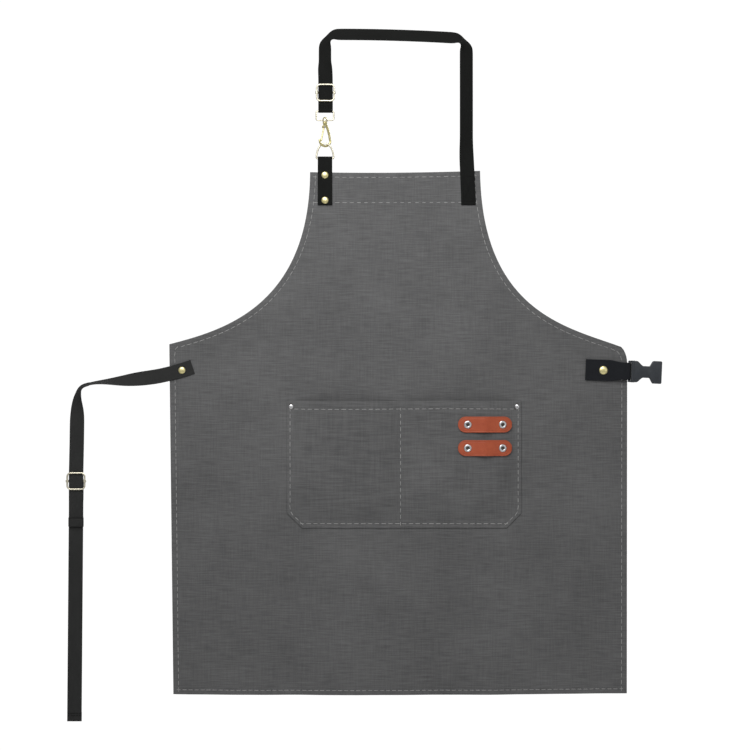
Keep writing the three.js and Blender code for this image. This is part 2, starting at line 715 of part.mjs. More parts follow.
const edgeAt = waistTurnX + 18; // where the strap stands on edge
const waistStations = spread(0, 1, waistSteps).map((t) => {
  const p = waistRoute.getPointAt(t);
  const along = waistRoute.getTangentAt(t);
  const onEdge =
    p.x > edgeAt
      ? 1 - smooth(edgeAt, waistRivet.x - 28, p.x)
      : Math.min(1, smooth(straightTop, waistTurnZ - 10, p.z));
  return { p, w: strapTurn(along, 86 * onEdge) };
});
const sliderFloor = waistSliderZ - sliderHeight / 2;
const tailZ = sliderFloor - waistTail;
const flatRun = [sliderFloor - waistTail + 12, tailZ].map((z) => ({ p: v(waistTurnX, waistY, z), w: v(-1, 0, 0) }));
const waistStrip = sweep([...waistStations, ...flatRun], flatSection(strapWidth, webbing));
const waistHole = moved(rivetHole(brassRivet), waistRivet.x, 0, waistRivet.z);
add("waist_strap", cut(waistStrip, waistHole), darkWebbing);
const waistPlace = new THREE.Group();
waistPlace.position.set(waistRivet.x, 0, waistRivet.z);
apron.add(waistPlace);
rivet("waist_rivet", brassRivet, waistY - webbingHalf, panelBack, brass, waistPlace);
slider("waist_slider", waistTurnX, waistY, waistSliderZ);

// Lower waist strap: sewn round the slider's bar, down behind the tail, with a turned hem at its end
const waistBarY = waistY + barBack;
const behindTail = waistBarY - barFold;
const layer = webbing + gap;
const lowerStrap = [
  v(0, behindTail + layer, waistBottom + waistHem),
  ...arc(0, -180, 6, (c, s) => v(0, behindTail + layer / 2 + (layer / 2) * c, waistBottom + layer / 2 + (layer / 2) * s)),
  v(0, behindTail, waistSliderZ - 30),
  ...arc(180, 0, 8, (c, s) => v(0, waistBarY + barFold * c, waistSliderZ + barFold * s)),
  v(0, behindTail + layer + 0.6, waistSliderZ - 14),
  v(0, behindTail + layer, waistSliderZ - foldBack),
];
add("waist_strap_lower", sweep(upright(lowerStrap, waistTurnX), flatSection(strapWidth, webbing)), darkWebbing);

// Buckle tab: wide webbing folded round the socket's bar, both layers riveted to the front of the panel
const tabBack = sewnY;
const tabFold = barRadius + gap + webbingHalf;
const barY = tabBack - tabFold;
const tabStart = buckleRivet.x - tabEnd;
const gather = (x) => 1 - (1 - tabNeck / tabWidth) * smooth(barX - 26, barX - 8, x);
const tabRoute = [
  ...spread(tabStart, barX - 4, 8).map((x) => v(x, tabBack, 0)),
  ...arc(90, -90, 8, (c, s) => v(barX + tabFold * c, barY + tabFold * s, 0)),
  ...spread(barX - 4, tabStart, 8).map((x) => v(x, 0, 0)),
];
const frontLayer = tabBack - webbing - gap;
const tabStations = tabRoute.map((p, i) => {
  if (i >= tabRoute.length - 9) p.y = frontLayer + (barY - tabFold - frontLayer) * smooth(barX - 24, barX - 3, p.x);
  p.z = buckleRivet.z;
  return { p, w: v(0, 0, 1), scale: gather(p.x) };
});
const tabGeometry = sweep(tabStations, flatSection(tabWidth, webbing));
add("buckle_tab", cut(tabGeometry, moved(rivetHole(tabRivet), buckleRivet.x, 0, buckleRivet.z)), darkWebbing);
const bucklePlace = new THREE.Group();
bucklePlace.position.set(buckleRivet.x, 0, buckleRivet.z);
apron.add(bucklePlace);
rivet("buckle_rivet", tabRivet, frontLayer - webbingHalf, panelBack, brass, bucklePlace);

// Buckle socket: a hollow body with a narrow waist whose sides are open, and a bar between two arms
const neckStart = socketStart + 5;
const waistFrom = socketStart + 11.3;
const waistTo = socketStart + 20.5;
const mouthFrom = waistTo + 2.4;
const upperEdge = [
  [socketStart, collarHalf - 1],
  [neckStart, collarHalf],
  [waistFrom - 2.4, socketWaist + 2],
  [waistFrom, socketWaist],
  [waistTo, socketWaist],
  [mouthFrom, socketHalf - 1.2],
  [mouthFrom + 2, socketHalf],
  [socketEnd, socketHalf],
];
const socketOutline = [
  ...upperEdge,
  ...upperEdge.map(([x, z]) => [x, -z]).reverse(),
].map(([x, z]) => new THREE.Vector2(x, z));
const armLong = socketStart - barX + barRadius + 2;
const arms = [-1, 1].map((side) =>
  new THREE.BoxGeometry(armLong, 2 * barRadius, armWall).translate(
    barX - barRadius + armLong / 2,
    0,
    side * (tabNeck / 2 + gap + armWall / 2),
  ),
);
const socketBar = rod("z", barRadius, tabNeck + 2 * gap + armWall, 12).translate(barX, 0, 0);
const socketShell = plate(socketOutline.reverse(), [], -socketDepth / 2, socketDepth);
const cavityHalf = socketHalf - socketWall;
const cavity = new THREE.BoxGeometry(socketCavity + 2, socketDepth - 2 * socketWall, 2 * cavityHalf).translate(
  socketEnd - socketCavity / 2 + 1,
  0,
  0,
);
const socket = cut(join(socketShell, socketBar, ...arms), cavity);
add("buckle_socket", socket.translate(0, barY, buckleRivet.z), plastic);

export default apron;
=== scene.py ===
import json
import math

import bmesh
import bpy
import numpy as np
from mathutils import Matrix, Vector
from mathutils.kdtree import KDTree

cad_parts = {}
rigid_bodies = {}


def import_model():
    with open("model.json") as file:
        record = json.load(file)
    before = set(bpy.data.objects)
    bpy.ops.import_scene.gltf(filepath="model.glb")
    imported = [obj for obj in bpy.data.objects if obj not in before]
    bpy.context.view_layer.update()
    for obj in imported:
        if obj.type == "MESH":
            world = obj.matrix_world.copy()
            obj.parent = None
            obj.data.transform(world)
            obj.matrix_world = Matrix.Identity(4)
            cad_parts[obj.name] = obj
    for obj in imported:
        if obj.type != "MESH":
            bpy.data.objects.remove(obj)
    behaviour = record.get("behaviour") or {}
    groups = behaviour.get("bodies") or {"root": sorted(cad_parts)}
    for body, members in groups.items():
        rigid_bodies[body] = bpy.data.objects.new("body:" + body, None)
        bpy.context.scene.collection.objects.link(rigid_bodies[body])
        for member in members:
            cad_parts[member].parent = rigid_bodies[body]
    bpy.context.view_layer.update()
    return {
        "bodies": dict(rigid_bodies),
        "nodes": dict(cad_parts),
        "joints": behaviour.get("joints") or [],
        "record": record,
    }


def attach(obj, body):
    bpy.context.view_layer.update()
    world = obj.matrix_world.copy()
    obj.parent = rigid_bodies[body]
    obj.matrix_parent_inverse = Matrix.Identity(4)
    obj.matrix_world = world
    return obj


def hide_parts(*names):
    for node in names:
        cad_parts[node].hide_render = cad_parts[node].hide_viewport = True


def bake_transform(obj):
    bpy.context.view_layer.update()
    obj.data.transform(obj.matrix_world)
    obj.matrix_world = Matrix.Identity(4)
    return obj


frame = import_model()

# =====================================================================================================
# Apron panel. One cut of mid-grey cotton canvas. The sides, armholes and bottom are turned 10 mm to the
# back and topstitched in light thread, and it hangs from its neck strap with a slow wave in the skirt.
# =====================================================================================================
mm = 0.001  # sizes are written in millimetres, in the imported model's frame, and meshes are in metres
bib_top, bib_half = -177.4, 114.2
left_waist, right_waist = (-303.4, -408.6), (311.9, -411.4)
left_foot, right_foot, corner_reach = (-298.0, -878.9), (311.2, -877.6), 26.0
cloth, fold_gap = 0.55, 0.08  # one layer of canvas, and the air in a fold
panel_front = -0.5
hem_width = 10.0
edge_step = 1.5  # spacing of the points that say where the cut's edge is


def smoothstep(x, low, high):
    t = np.clip((x - low) / (high - low), 0, 1)
    return t * t * (3 - 2 * t)


def unit(vectors):
    return vectors / np.maximum(np.linalg.norm(vectors, axis=-1, keepdims=True), 1e-12)


def run_of(points):
    """Distance along a line of points, from 0."""
    return np.concatenate([[0], np.cumsum(np.linalg.norm(np.diff(points, axis=0), axis=1))])


def at_shares(points, shares):
    """Points at these shares of a line's length."""
    points = np.asarray(points, float)
    run = run_of(points)
    return np.stack([np.interp(np.asarray(shares) * run[-1], run, p) for p in points.T], 1)


def every(points, step):
    """The line again, with points about step apart."""
    count = max(2, round(run_of(np.asarray(points, float))[-1] / step) + 1)
    return at_shares(points, np.linspace(0, 1, count))


def shares(length, edge, fine, coarse, ends=(True, True)):
    """Shares of a length: fine steps over the edge at its ends, and coarse ones between."""
    low = np.arange(0, edge, fine) if ends[0] else np.zeros(1)
    high = length - np.arange(0, edge, fine)[::-1] if ends[1] else np.full(1, length)
    count = max(2, round((high[0] - low[-1]) / coarse))
    middle = np.linspace(low[-1], high[0], count + 1)[1:-1]
    return np.concatenate([low, middle, high]) / length


def bezier(*corners):
    t = np.linspace(0, 1, 80)[:, None]
    a, b, c, d = np.array(corners, float)
    return (1 - t) ** 3 * a + 3 * (1 - t) ** 2 * t * b + 3 * (1 - t) * t**2 * c + t**3 * d


turn = np.radians(np.linspace(0, 60, 13))
right_corner = np.stack([
    right_waist[0] - corner_reach * 0.6 * (1 - np.cos(turn)),
    right_waist[1] - corner_reach * (0.9 - np.sin(turn)),
], 1)
left_armhole = bezier(left_waist, (-235.2, -390.8), (-115.6, -360.6), (-bib_half, bib_top))
right_armhole = bezier(right_corner[-1], (233.0, -385.9), (117.2, -366.6), (bib_half, bib_top))
left_low = np.array([left_foot, left_waist])
right_low = np.array([right_foot, right_corner[0]])
right_high = np.concatenate([right_corner, right_armhole[1:]])
low_shares = shares(466, 14, 2.0, 4.6, (True, False))
high_shares = shares(310, 14, 2.0, 4.3, (False, True))
column_shares = shares(604, 16, 1.8, 4.5)


def two_lengths(low, high):
    return np.concatenate([at_shares(low, low_shares), at_shares(high, high_shares)[1:]])


panel_sides = [
    at_shares([left_low[0], right_low[0]], column_shares),
    two_lengths(right_low, right_high),
    at_shares([[-bib_half, bib_top], [bib_half, bib_top]], column_shares),
    two_lengths(left_low, left_armhole),
]
INWARD = (1, 1, -1, -1)  # which way is inwards for bottom, right, top and left


def inset(sides, reach):
    """The four sides of a cut moved inwards, each by its own reach, with their points spread as before."""
    spread = [run_of(s) / run_of(s)[-1] for s in sides]
    steps = max(1, math.ceil(max(reach) / 0.28))
    sides = [s.copy() for s in sides]
    for _ in range(steps):
        normals = []
        for side, sign in zip(sides, INWARD):
            ahead = unit(np.diff(side, axis=0))
            ahead = unit(np.concatenate([ahead[:1], ahead[1:] + ahead[:-1], ahead[-1:]]))
            normals.append(sign * np.stack([-ahead[:, 1], ahead[:, 0]], 1))
        moved = [s + n * r / steps for s, n, r in zip(sides, normals, reach)]
        for a, i, b, j in ((0, 0, 3, 0), (0, -1, 1, 0), (2, 0, 3, -1), (2, -1, 1, -1)):
            both = np.array([normals[a][i], normals[b][j]])
            corner = sides[a][i] + np.linalg.solve(both, np.array([reach[a], reach[b]]) / steps)
            moved[a][i] = moved[b][j] = corner
        sides = [at_shares(s, share) for s, share in zip(moved, spread)]
    return sides


def around(sides):
    """The closed loop of four sides, anticlockwise from the lower left."""
    bottom, right, top, left = sides
    return np.concatenate([bottom[:-1], right[:-1], top[::-1][:-1], left[::-1][:-1]])


def patch(sides):
    """Rows of points that fill four sides."""
    bottom, right, top, left = sides
    u = run_of(bottom) / run_of(bottom)[-1]
    v = (run_of(left) / run_of(left)[-1] + run_of(right) / run_of(right)[-1]) / 2
    u, v = u[None, :, None], v[:, None, None]
    across = (1 - v) * bottom[None] + v * top[None]
    up = (1 - u) * left[:, None] + u * right[:, None]
    corners = (1 - v) * ((1 - u) * bottom[0] + u * bottom[-1]) + v * ((1 - u) * top[0] + u * top[-1])
    return across + up - corners


def in_scene(name, data):
    made = bpy.data.objects.new(name, data)
    bpy.context.scene.collection.objects.link(made)
    return made


def mesh_piece(name, points, faces, uv=None):
    """A smooth mesh from points in millimetres, with an optional UV in metres for each point."""
    mesh = bpy.data.meshes.new(name)
    mesh.from_pydata((np.asarray(points, float) * mm).tolist(), [], faces)
    mesh.polygons.foreach_set("use_smooth", [True] * len(mesh.polygons))
    if uv is not None:
        corner = np.zeros(len(mesh.loops), np.int32)
        mesh.loops.foreach_get("vertex_index", corner)
        layer = mesh.uv_layers.new(name="along")
        layer.data.foreach_set("uv", np.asarray(uv, np.float32)[corner].ravel())
    mesh.update()
    return in_scene(name, mesh)


def sewn_sheet(name, sides, insets, section, place):
    """A closed sheet. section gives the edge from front to back as (reach, share of each inset, depth),
    and place turns flat points and their depth behind the front into their hanging place."""
    loops = []
    for reach, share, depth in section:
        inner = inset(sides, [reach + share * i for i in insets])
        loops.append((inner, depth))
    front, back = patch(loops[0][0]), patch(loops[-1][0])
    rows, columns = front.shape[:2]
    points = [place(front.reshape(-1, 2), loops[0][1]), place(back.reshape(-1, 2), loops[-1][1])]
    number = np.arange(rows * columns).reshape(rows, columns)
    ring = np.concatenate([number[0, :-1], number[:-1, -1], number[-1, :0:-1], number[:0:-1, 0]])
    quads = np.stack([number[:-1, :-1], number[:-1, 1:], number[1:, 1:], number[1:, :-1]], -1).reshape(-1, 4)
    faces = [quads, quads[:, ::-1] + rows * columns]
    rings, first = [ring], 2 * rows * columns
    for inner, depth in loops[1:-1]:
        loop = around(inner)
        points.append(place(loop, depth))
        rings.append(np.arange(len(loop)) + first)
        first += len(loop)
    rings.append(ring + rows * columns)
    for a, b in zip(rings, rings[1:]):
        faces.append(np.stack([a, b, np.roll(b, -1), np.roll(a, -1)], -1))
    return mesh_piece(name, np.concatenate(points), np.concatenate(faces).tolist())


edge_line = every(np.concatenate([around(panel_sides), around(panel_sides)[:1]]), edge_step)[:-1]
edge_tree = KDTree(len(edge_line))
for i, (x, z) in enumerate(edge_line):
    edge_tree.insert((x, 0, z), i)
edge_tree.balance()
chance = np.random.default_rng(11)
ripple_waves = [  # how often, where it starts and how big, for each
    (chance.uniform(0.18, 0.62), chance.uniform(0, 6.28), chance.uniform(0.5, 1)) for _ in range(9)
]
panel_rows = (bib_top - 6.3, bib_top - 40.8)


def ripples(along):
    """An uneven wave along a seam, between about -1 and 1."""
    return sum(a * np.sin(f * along + p) for f, p, a in ripple_waves) / 4


def seam_relief(off, along):
    """A seam pulls the cloth back, and the cloth beside it puckers. off is the distance from the seam."""
    pulled = 0.34 * np.exp(-((off / 1.5) ** 2))
    puckers = 0.17 * ripples(along) * np.exp(-(((np.abs(off) - 3.5) / 3.4) ** 2))
    return pulled + puckers


def wave(x, z):
    """How far the free cloth stands back (+) or forward (-) between what holds it."""
    skirt = smoothstep(-z, 650, 880)
    sides = smoothstep(np.abs(x - 12), 175, 285) * smoothstep(-z, 480, 660) * (1 - skirt)
    bib = smoothstep(-z, 232, 285) * (1 - smoothstep(-z, 380, 468))
    slow = 0.6 * np.sin(0.0345 * x + 0.0022 * z + 1.9) + 0.3 * np.sin(0.0615 * x - 0.0035 * z + 0.4)
    slow += 0.14 * np.sin(0.107 * x + 0.006 * z + 2.4)
    across = 0.5 * np.sin(0.021 * z + 0.012 * x + 0.7) + 0.4 * np.sin(0.05 * x - 0.028 * z)
    return 2.6 * skirt * slow + 1.3 * sides * slow + 0.8 * bib * (0.6 * slow + 0.6 * across)


def hang_panel(flat, depth):
    """The hanging place of points of the cut, depth behind its front."""
    x, z = flat[:, 0], flat[:, 1]
    found = np.array([edge_tree.find((a, 0, b))[1:] for a, b in flat])
    along = found[:, 0] * edge_step
    y = panel_front + depth + wave(x, z)
    y = y + seam_relief(found[:, 1] - 7.2, along) * smoothstep(found[:, 1], 0, 3)
    for row in panel_rows:
        y = y + seam_relief(z - row, x + 31 * row) * smoothstep(found[:, 1], 4, 9)
    across = x / bib_half
    lift = (1.6 * across**2 + 0.9 * across - 0.7) * smoothstep(z, bib_top - 60, bib_top)
    sag = 1.8 * (1 - (x / 302) ** 2) * smoothstep(-z, 780, 877)
    return np.stack([x, y, z + lift - sag], 1)


fold = 2 * cloth + fold_gap
hem_section = [
    (1.1, 0, 0), (0.45, 0, 0.1), (0.12, 0, 0.32), (0, 0, fold / 2), (0.12, 0, fold - 0.32),
    (0.45, 0, fold - 0.1), (1.1, 0, fold), (0, 0.5, fold), (-0.5, 1, fold), (-0.1, 1, fold - 0.15),
    (0, 1, fold - 0.35), (0, 1, cloth),
]
panel = sewn_sheet("canvas_panel", panel_sides, [hem_width] * 4, hem_section, hang_panel)


# Shader and geometry trees are written with these two
def node(tree, kind, sockets=None, **settings):
    """A new node, its settings, and its sockets set to values or linked to other nodes' outputs."""
    made = tree.nodes.new(kind)
    for key, value in settings.items():
        setattr(made, key, value)
    for key, value in (sockets or {}).items():
        if isinstance(value, bpy.types.NodeSocket):
            tree.links.new(value, made.inputs[key])
        else:
            made.inputs[key].default_value = value
    return made


def calc(tree, operation, *values):
    return node(tree, "ShaderNodeMath", dict(enumerate(values)), operation=operation).outputs[0]


def material_of(name, color, roughness, **constants):
    """A Principled material, and its tree and shader to build on."""
    made = bpy.data.materials.new(name)
    made.use_nodes = True
    made.diffuse_color = (*color, 1)
    shader = made.node_tree.nodes["Principled BSDF"]
    shader.inputs["Base Color"].default_value = (*color, 1)
    shader.inputs["Roughness"].default_value = roughness
    for key, value in constants.items():
        shader.inputs[key.replace("_", " ")].default_value = value
    return made, made.node_tree, shader


def streaks(tree, coordinates, scale, detail=2.0, rough=0.55):
    """Noise drawn out along the axes whose scale is small. Its mean is about 0.5."""
    stretched = node(tree, "ShaderNodeMapping", {"Vector": coordinates, "Scale": scale})
    settings = {"Vector": stretched.outputs[0], "Scale": 1.0, "Detail": detail, "Roughness": rough}
    return node(tree, "ShaderNodeTexNoise", settings).outputs["Fac"]


def object_place(tree):
    return node(tree, "ShaderNodeTexCoord").outputs["Object"]


def clamped(tree, value):
    return node(tree, "ShaderNodeClamp", {0: value}).outputs[0]


def tinted(tree, shader, amount, dark, light):
    """Colours the shader from dark to light by an amount from 0 to 1."""
    mixed = node(tree, "ShaderNodeMix", {0: amount, 6: (*dark, 1), 7: (*light, 1)}, data_type="RGBA")
    tree.links.new(mixed.outputs[2], shader.inputs["Base Color"])


def bumped(tree, shader, height, strength, distance):
    bump = node(tree, "ShaderNodeBump", {"Height": height, "Strength": strength, "Distance": distance})
    tree.links.new(bump.outputs[0], shader.inputs["Normal"])


# Canvas: plain weave of slubby yarn, warp up and down and weft across, with faint uneven dyeing
canvas, tree, shader = material_of(
    "grey_canvas", (0.105, 0.105, 0.106), 0.92,
    Sheen_Weight=0.12, Sheen_Roughness=0.5, Specular_IOR_Level=0.25,
)
place = object_place(tree)
axes = node(tree, "ShaderNodeSeparateXYZ", {0: place})
thread = 2 * math.pi / 0.0011
warp = calc(tree, "SINE", calc(tree, "MULTIPLY", axes.outputs["X"], thread))
weft = calc(tree, "SINE", calc(tree, "MULTIPLY", axes.outputs["Z"], thread * 1.12))
weave = calc(tree, "MULTIPLY", warp, weft)
slub_across = streaks(tree, place, (38, 38, 620), 3)
slub_up = streaks(tree, place, (560, 38, 30), 3)
dye = streaks(tree, place, (9, 9, 12), 4, 0.6)
shade = calc(tree, "MULTIPLY_ADD", slub_across, 1.1, -0.235)
shade = calc(tree, "MULTIPLY_ADD", slub_up, 0.55, shade)
shade = calc(tree, "MULTIPLY_ADD", dye, 0.65, shade)
shade = calc(tree, "ADD", shade, -0.405)
shade = calc(tree, "MULTIPLY_ADD", weave, 0.12, shade)
tinted(tree, shader, clamped(tree, shade), (0.062, 0.062, 0.063), (0.150, 0.150, 0.151))
height = calc(tree, "MULTIPLY_ADD", weave, 0.5, calc(tree, "MULTIPLY", slub_across, 1.6))
height = calc(tree, "MULTIPLY_ADD", slub_up, 0.8, height)
bumped(tree, shader, height, 0.55, 0.00016)
panel.data.materials.append(canvas)

# The facing behind the top of the bib, whose lower edge the second row of stitches holds
facing_depth = fold + 0.06
foot_half, foot_z, head_half, head_z = 113.2, bib_top - 43, 112.4, bib_top - 0.6
facing_across, facing_up = shares(226, 4, 1, 3), shares(42, 3, 1, 3)
facing_sides = [
    at_shares([[-foot_half, foot_z], [foot_half, foot_z]], facing_across),
    at_shares([[foot_half, foot_z], [head_half, head_z]], facing_up),
    at_shares([[-head_half, head_z], [head_half, head_z]], facing_across),
    at_shares([[-foot_half, foot_z], [-head_half, head_z]], facing_up),
]
thin_edge = [(0.4, 0, 0), (0.08, 0, 0.1), (0, 0, cloth / 2), (0.08, 0, cloth - 0.1), (0.4, 0, cloth)]
thin_edge = [(reach, share, depth + facing_depth) for reach, share, depth in thin_edge]
facing = sewn_sheet("bib_facing", facing_sides, [1] * 4, thin_edge, hang_panel)
facing.data.materials.append(canvas)

for piece in (panel, facing):
    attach(piece, "apron")
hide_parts("apron_panel")
corner_x, corner_z = around(panel_sides).T


# =====================================================================================================
# Topstitching of the panel: light grey thread in long stitches, one row round the whole edge and two
# across the bib, sewn through cloth and hem so that a row shows on the back as well.
# =====================================================================================================
def socket_in(tree, name, kind, **settings):
    made = tree.interface.new_socket(name=name, in_out="INPUT", socket_type="NodeSocket" + kind)
    for key, value in settings.items():
        setattr(made, key, value)


def tree_with(name, *sockets):
    """A geometry tree with the named inputs and one geometry output, and its two end nodes."""
    tree = bpy.data.node_groups.new(name, "GeometryNodeTree")
    for label, kind, value in sockets:
        socket_in(tree, label, kind, **({} if value is None else {"default_value": value}))
    tree.interface.new_socket(name="Geometry", in_out="OUTPUT", socket_type="NodeSocketGeometry")
    return tree, tree.nodes.new("NodeGroupInput").outputs, tree.nodes.new("NodeGroupOutput")


def grown(name, source, tree, **values):
    """Runs a geometry tree on an object and keeps the result as a plain mesh with no modifier."""
    modifier = source.modifiers.new(tree.name, "NODES")
    modifier.node_group = tree
    for item in tree.interface.items_tree:
        key = item.name.replace(" ", "_")
        if item.in_out == "INPUT" and key in values:
            modifier[item.identifier] = values[key]
    bpy.context.view_layer.update()
    evaluated = source.evaluated_get(bpy.context.evaluated_depsgraph_get())
    made = in_scene(name, bpy.data.meshes.new_from_object(evaluated))
    made.data.name = name
    bpy.data.objects.remove(source)
    return made


def own_value(tree, name, kind):
    """What a path says about itself at each point."""
    return node(tree, "GeometryNodeInputNamedAttribute", {"Name": name}, data_type=kind).outputs["Attribute"]


def round_section(tree, sides, radius):
    """The circle that is swept along a line."""
    sizes = {"Resolution": sides, "Radius": radius}
    return node(tree, "GeometryNodeCurvePrimitiveCircle", sizes, mode="RADIUS").outputs[0]


def aligned(tree, axis, way, pivot="AUTO", **first):
    """A rotation that turns an axis to point the given way."""
    sockets = {**first, "Vector": way}
    return node(tree, "FunctionNodeAlignRotationToVector", sockets, axis=axis, pivot_axis=pivot).outputs[0]


def finish_tree(tree, geometry, material, output):
    """Instances made real, smooth, and given their material."""
    real = node(tree, "GeometryNodeRealizeInstances", {0: geometry}).outputs[0]
    smooth = node(tree, "GeometryNodeSetShadeSmooth", {"Geometry": real}).outputs[0]
    dressed = node(tree, "GeometryNodeSetMaterial", {"Geometry": smooth, "Material": material}).outputs[0]
    tree.links.new(dressed, output.inputs["Geometry"])


stitch_tree, given, result = tree_with(
    "Row of stitches", ("Path", "Geometry", None), ("Pitch", "Float", 0.009),
    ("Stitch Length", "Float", 0.0055), ("Thread Radius", "Float", 0.0004), ("Seed", "Int", 3),
    ("Thread", "Material", None),
)
line = node(stitch_tree, "GeometryNodeMeshToCurve", {"Mesh": given["Path"]}).outputs[0]
spaced = {"Curve": line, "Length": given["Pitch"]}
line = node(stitch_tree, "GeometryNodeResampleCurve", spaced, mode="LENGTH").outputs[0]
half = calc(stitch_tree, "MULTIPLY", given["Stitch Length"], 0.5)
low = calc(stitch_tree, "MULTIPLY", given["Thread Radius"], -0.9)
ends = []
for side in (-1.0, 1.0):
    sideways = calc(stitch_tree, "MULTIPLY", half, side)
    ends.append(node(stitch_tree, "ShaderNodeCombineXYZ", {"X": sideways, "Z": low}).outputs[0])
rise = calc(stitch_tree, "MULTIPLY", given["Thread Radius"], 1.7)
bow = node(stitch_tree, "GeometryNodeCurveQuadraticBezier", {
    "Resolution": 6, "Start": ends[0], "End": ends[1],
    "Middle": node(stitch_tree, "ShaderNodeCombineXYZ", {"Z": rise}).outputs[0],
})
stitch = node(stitch_tree, "GeometryNodeCurveToMesh", {
    "Curve": bow.outputs[0], "Profile Curve": round_section(stitch_tree, 6, given["Thread Radius"]),
    "Fill Caps": True,
}).outputs[0]
turned_to = aligned(stitch_tree, "X", node(stitch_tree, "GeometryNodeInputTangent").outputs[0])
cloth_way = own_value(stitch_tree, "facing", "FLOAT_VECTOR")
turned_to = aligned(stitch_tree, "Z", cloth_way, "X", Rotation=turned_to)
wander = node(stitch_tree, "FunctionNodeRandomValue", {
    "Min": (0.93, 0.9, 0.9), "Max": (1.06, 1.15, 1.1), "Seed": given["Seed"],
}, data_type="FLOAT_VECTOR")
sewn = node(stitch_tree, "GeometryNodeInstanceOnPoints", {
    "Points": line, "Instance": stitch, "Rotation": turned_to, "Scale": wander.outputs[0],
}).outputs[0]
finish_tree(stitch_tree, sewn, given["Thread"], result)


def path_object(rows, facings, **extra):
    """A mesh of edges along each row of points in millimetres, with the way that the cloth faces there."""
    points, edges, first = np.concatenate(rows), [], 0
    for row in rows:
        edges += [(first + i, first + i + 1) for i in range(len(row) - 1)]
        first += len(row)
    mesh = bpy.data.meshes.new("path")
    mesh.from_pydata((points * mm).tolist(), edges, [])
    layer = mesh.attributes.new("facing", "FLOAT_VECTOR", "POINT")
    layer.data.foreach_set("vector", np.concatenate(facings).astype(np.float32).ravel())
    for key, values in extra.items():
        mesh.attributes.new(key, "FLOAT", "POINT").data.foreach_set("value", np.concatenate(values))
    return in_scene("path", mesh)


def stitched(name, rows, facing, thread_finish, pitch=8.0, length=5.4, radius=0.42, seed=3):
    """Rows of stitches along lines in millimetres. facing is one direction, or one for each point."""
    facings = [np.broadcast_to(f, r.shape) for f, r in zip(facing, rows)]
    return grown(
        name, path_object(rows, facings), stitch_tree, Pitch=pitch * mm, Stitch_Length=length * mm,
        Thread_Radius=radius * mm, Seed=seed, Thread=thread_finish,
    )


# Thread: spun polyester, whose twist shows as fine slanting bands
def thread_of(name, color, roughness, dark, light, **constants):
    made, tree, shader = material_of(name, color, roughness, **constants)
    bands = {"Vector": object_place(tree), "Scale": 900.0, "Distortion": 2.0}
    twist = node(tree, "ShaderNodeTexWave", bands, bands_direction="DIAGONAL").outputs["Fac"]
    tinted(tree, shader, twist, dark, light)
    return made, tree, shader, twist


pale_thread, tree, shader, twist = thread_of(
    "pale_thread", (0.30, 0.30, 0.295), 0.75, (0.22, 0.22, 0.216), (0.38, 0.38, 0.372)
)
bumped(tree, shader, twist, 0.4, 0.0001)

rows = [every(r, 3) for r in inset(panel_sides, (6.2, 7.2, 6.3, 7.2))]
rows.append(every([[-bib_half + 7.4, panel_rows[1]], [bib_half - 7.4, panel_rows[1]]], 3))
runs = (("bottom", (0,), 8.0, 5.4), ("side", (1, 3), 9.0, 6.2), ("bib", (2, 4), 9.5, 6.6))
for name, chosen, pitch, length in runs:
    behind = facing_depth + cloth + 0.05 if name == "bib" else fold + 0.05
    for face, depth, way in (("front", -0.08, -1), ("back", behind, 1)):
        sewn_rows = [hang_panel(rows[i], depth) for i in chosen]
        ways = [(0, way, 0)] * len(chosen)
        piece = stitched(
            f"{name}_{face}_stitches", sewn_rows, ways, pale_thread, pitch, length, radius=0.38, seed=3 + way
        )
        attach(piece, "apron")


# =====================================================================================================
# Pocket: one wide piece of the same canvas with cut-off lower corners, sewn down along its sides and
# bottom and by one row up its middle. Its top is a hem, and both compartments stand open.
# =====================================================================================================
pocket_left, pocket_right, pocket_top, pocket_bottom = -145.5, 169.7, -485.0, -655.7
pocket_chamfer, pocket_divider, pocket_seam, divider_seam = 20.0, 7.3, 9.5, 1.5
pocket_bow, pocket_rise, pocket_top_row = 8.0, 45.0, 10.7


def opened(distance):
    return 1 - (1 - np.clip(distance / pocket_rise, 0, 1)) ** 2


def pocket_middle(x, z):
    """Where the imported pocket's cloth lies, at the middle of its thickness."""
    sides = np.minimum(x - pocket_left, pocket_right - x) - pocket_seam
    divider = np.abs(x - pocket_divider) - divider_seam
    bottom = z - pocket_bottom - pocket_seam
    corner = (sides + bottom - pocket_chamfer) / math.sqrt(2)
    out = opened(np.minimum(sides, divider)) * opened(bottom) * opened(corner + pocket_seam / 2)
    return -1.3 - pocket_bow * out


def pocket_front(x, z):
    """Front of the pocket's cloth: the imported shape, with puckers along its seams and a soft unevenness."""
    x, z = np.asarray(x, float), np.asarray(z, float)
    y = pocket_middle(x, z) - 0.5
    sides = np.minimum(x - pocket_left, pocket_right - x)
    bottom = z - pocket_bottom
    edge = np.minimum(np.minimum(sides, bottom), (sides + bottom - pocket_chamfer) / math.sqrt(2))
    sewn_down = seam_relief(edge - 5.2, x * 0.9 + z) * smoothstep(edge, 0, 3)
    middle_row = seam_relief(x - pocket_divider, z) * smoothstep(pocket_top - z, 4, 14)
    top_row = 0.8 * seam_relief(z - pocket_top + pocket_top_row, x) * smoothstep(sides, 3, 9)
    open_cloth = smoothstep(edge, 10, 45) * smoothstep(np.abs(x - pocket_divider), 4, 40)
    uneven = 0.5 * np.sin(0.071 * x + 0.02 * z) + 0.45 * np.sin(0.043 * z - 0.05 * x + 1.1)
    return y + sewn_down + middle_row + top_row + 0.35 * open_cloth * uneven


def hang_pocket(flat, depth):
    x, z = flat[:, 0], flat[:, 1]
    lip = 0.5 * np.sin(0.021 * (x - pocket_left)) * smoothstep(z, pocket_top - 40, pocket_top)
    return np.stack([x, pocket_front(x, z) + depth, z - lip], 1)


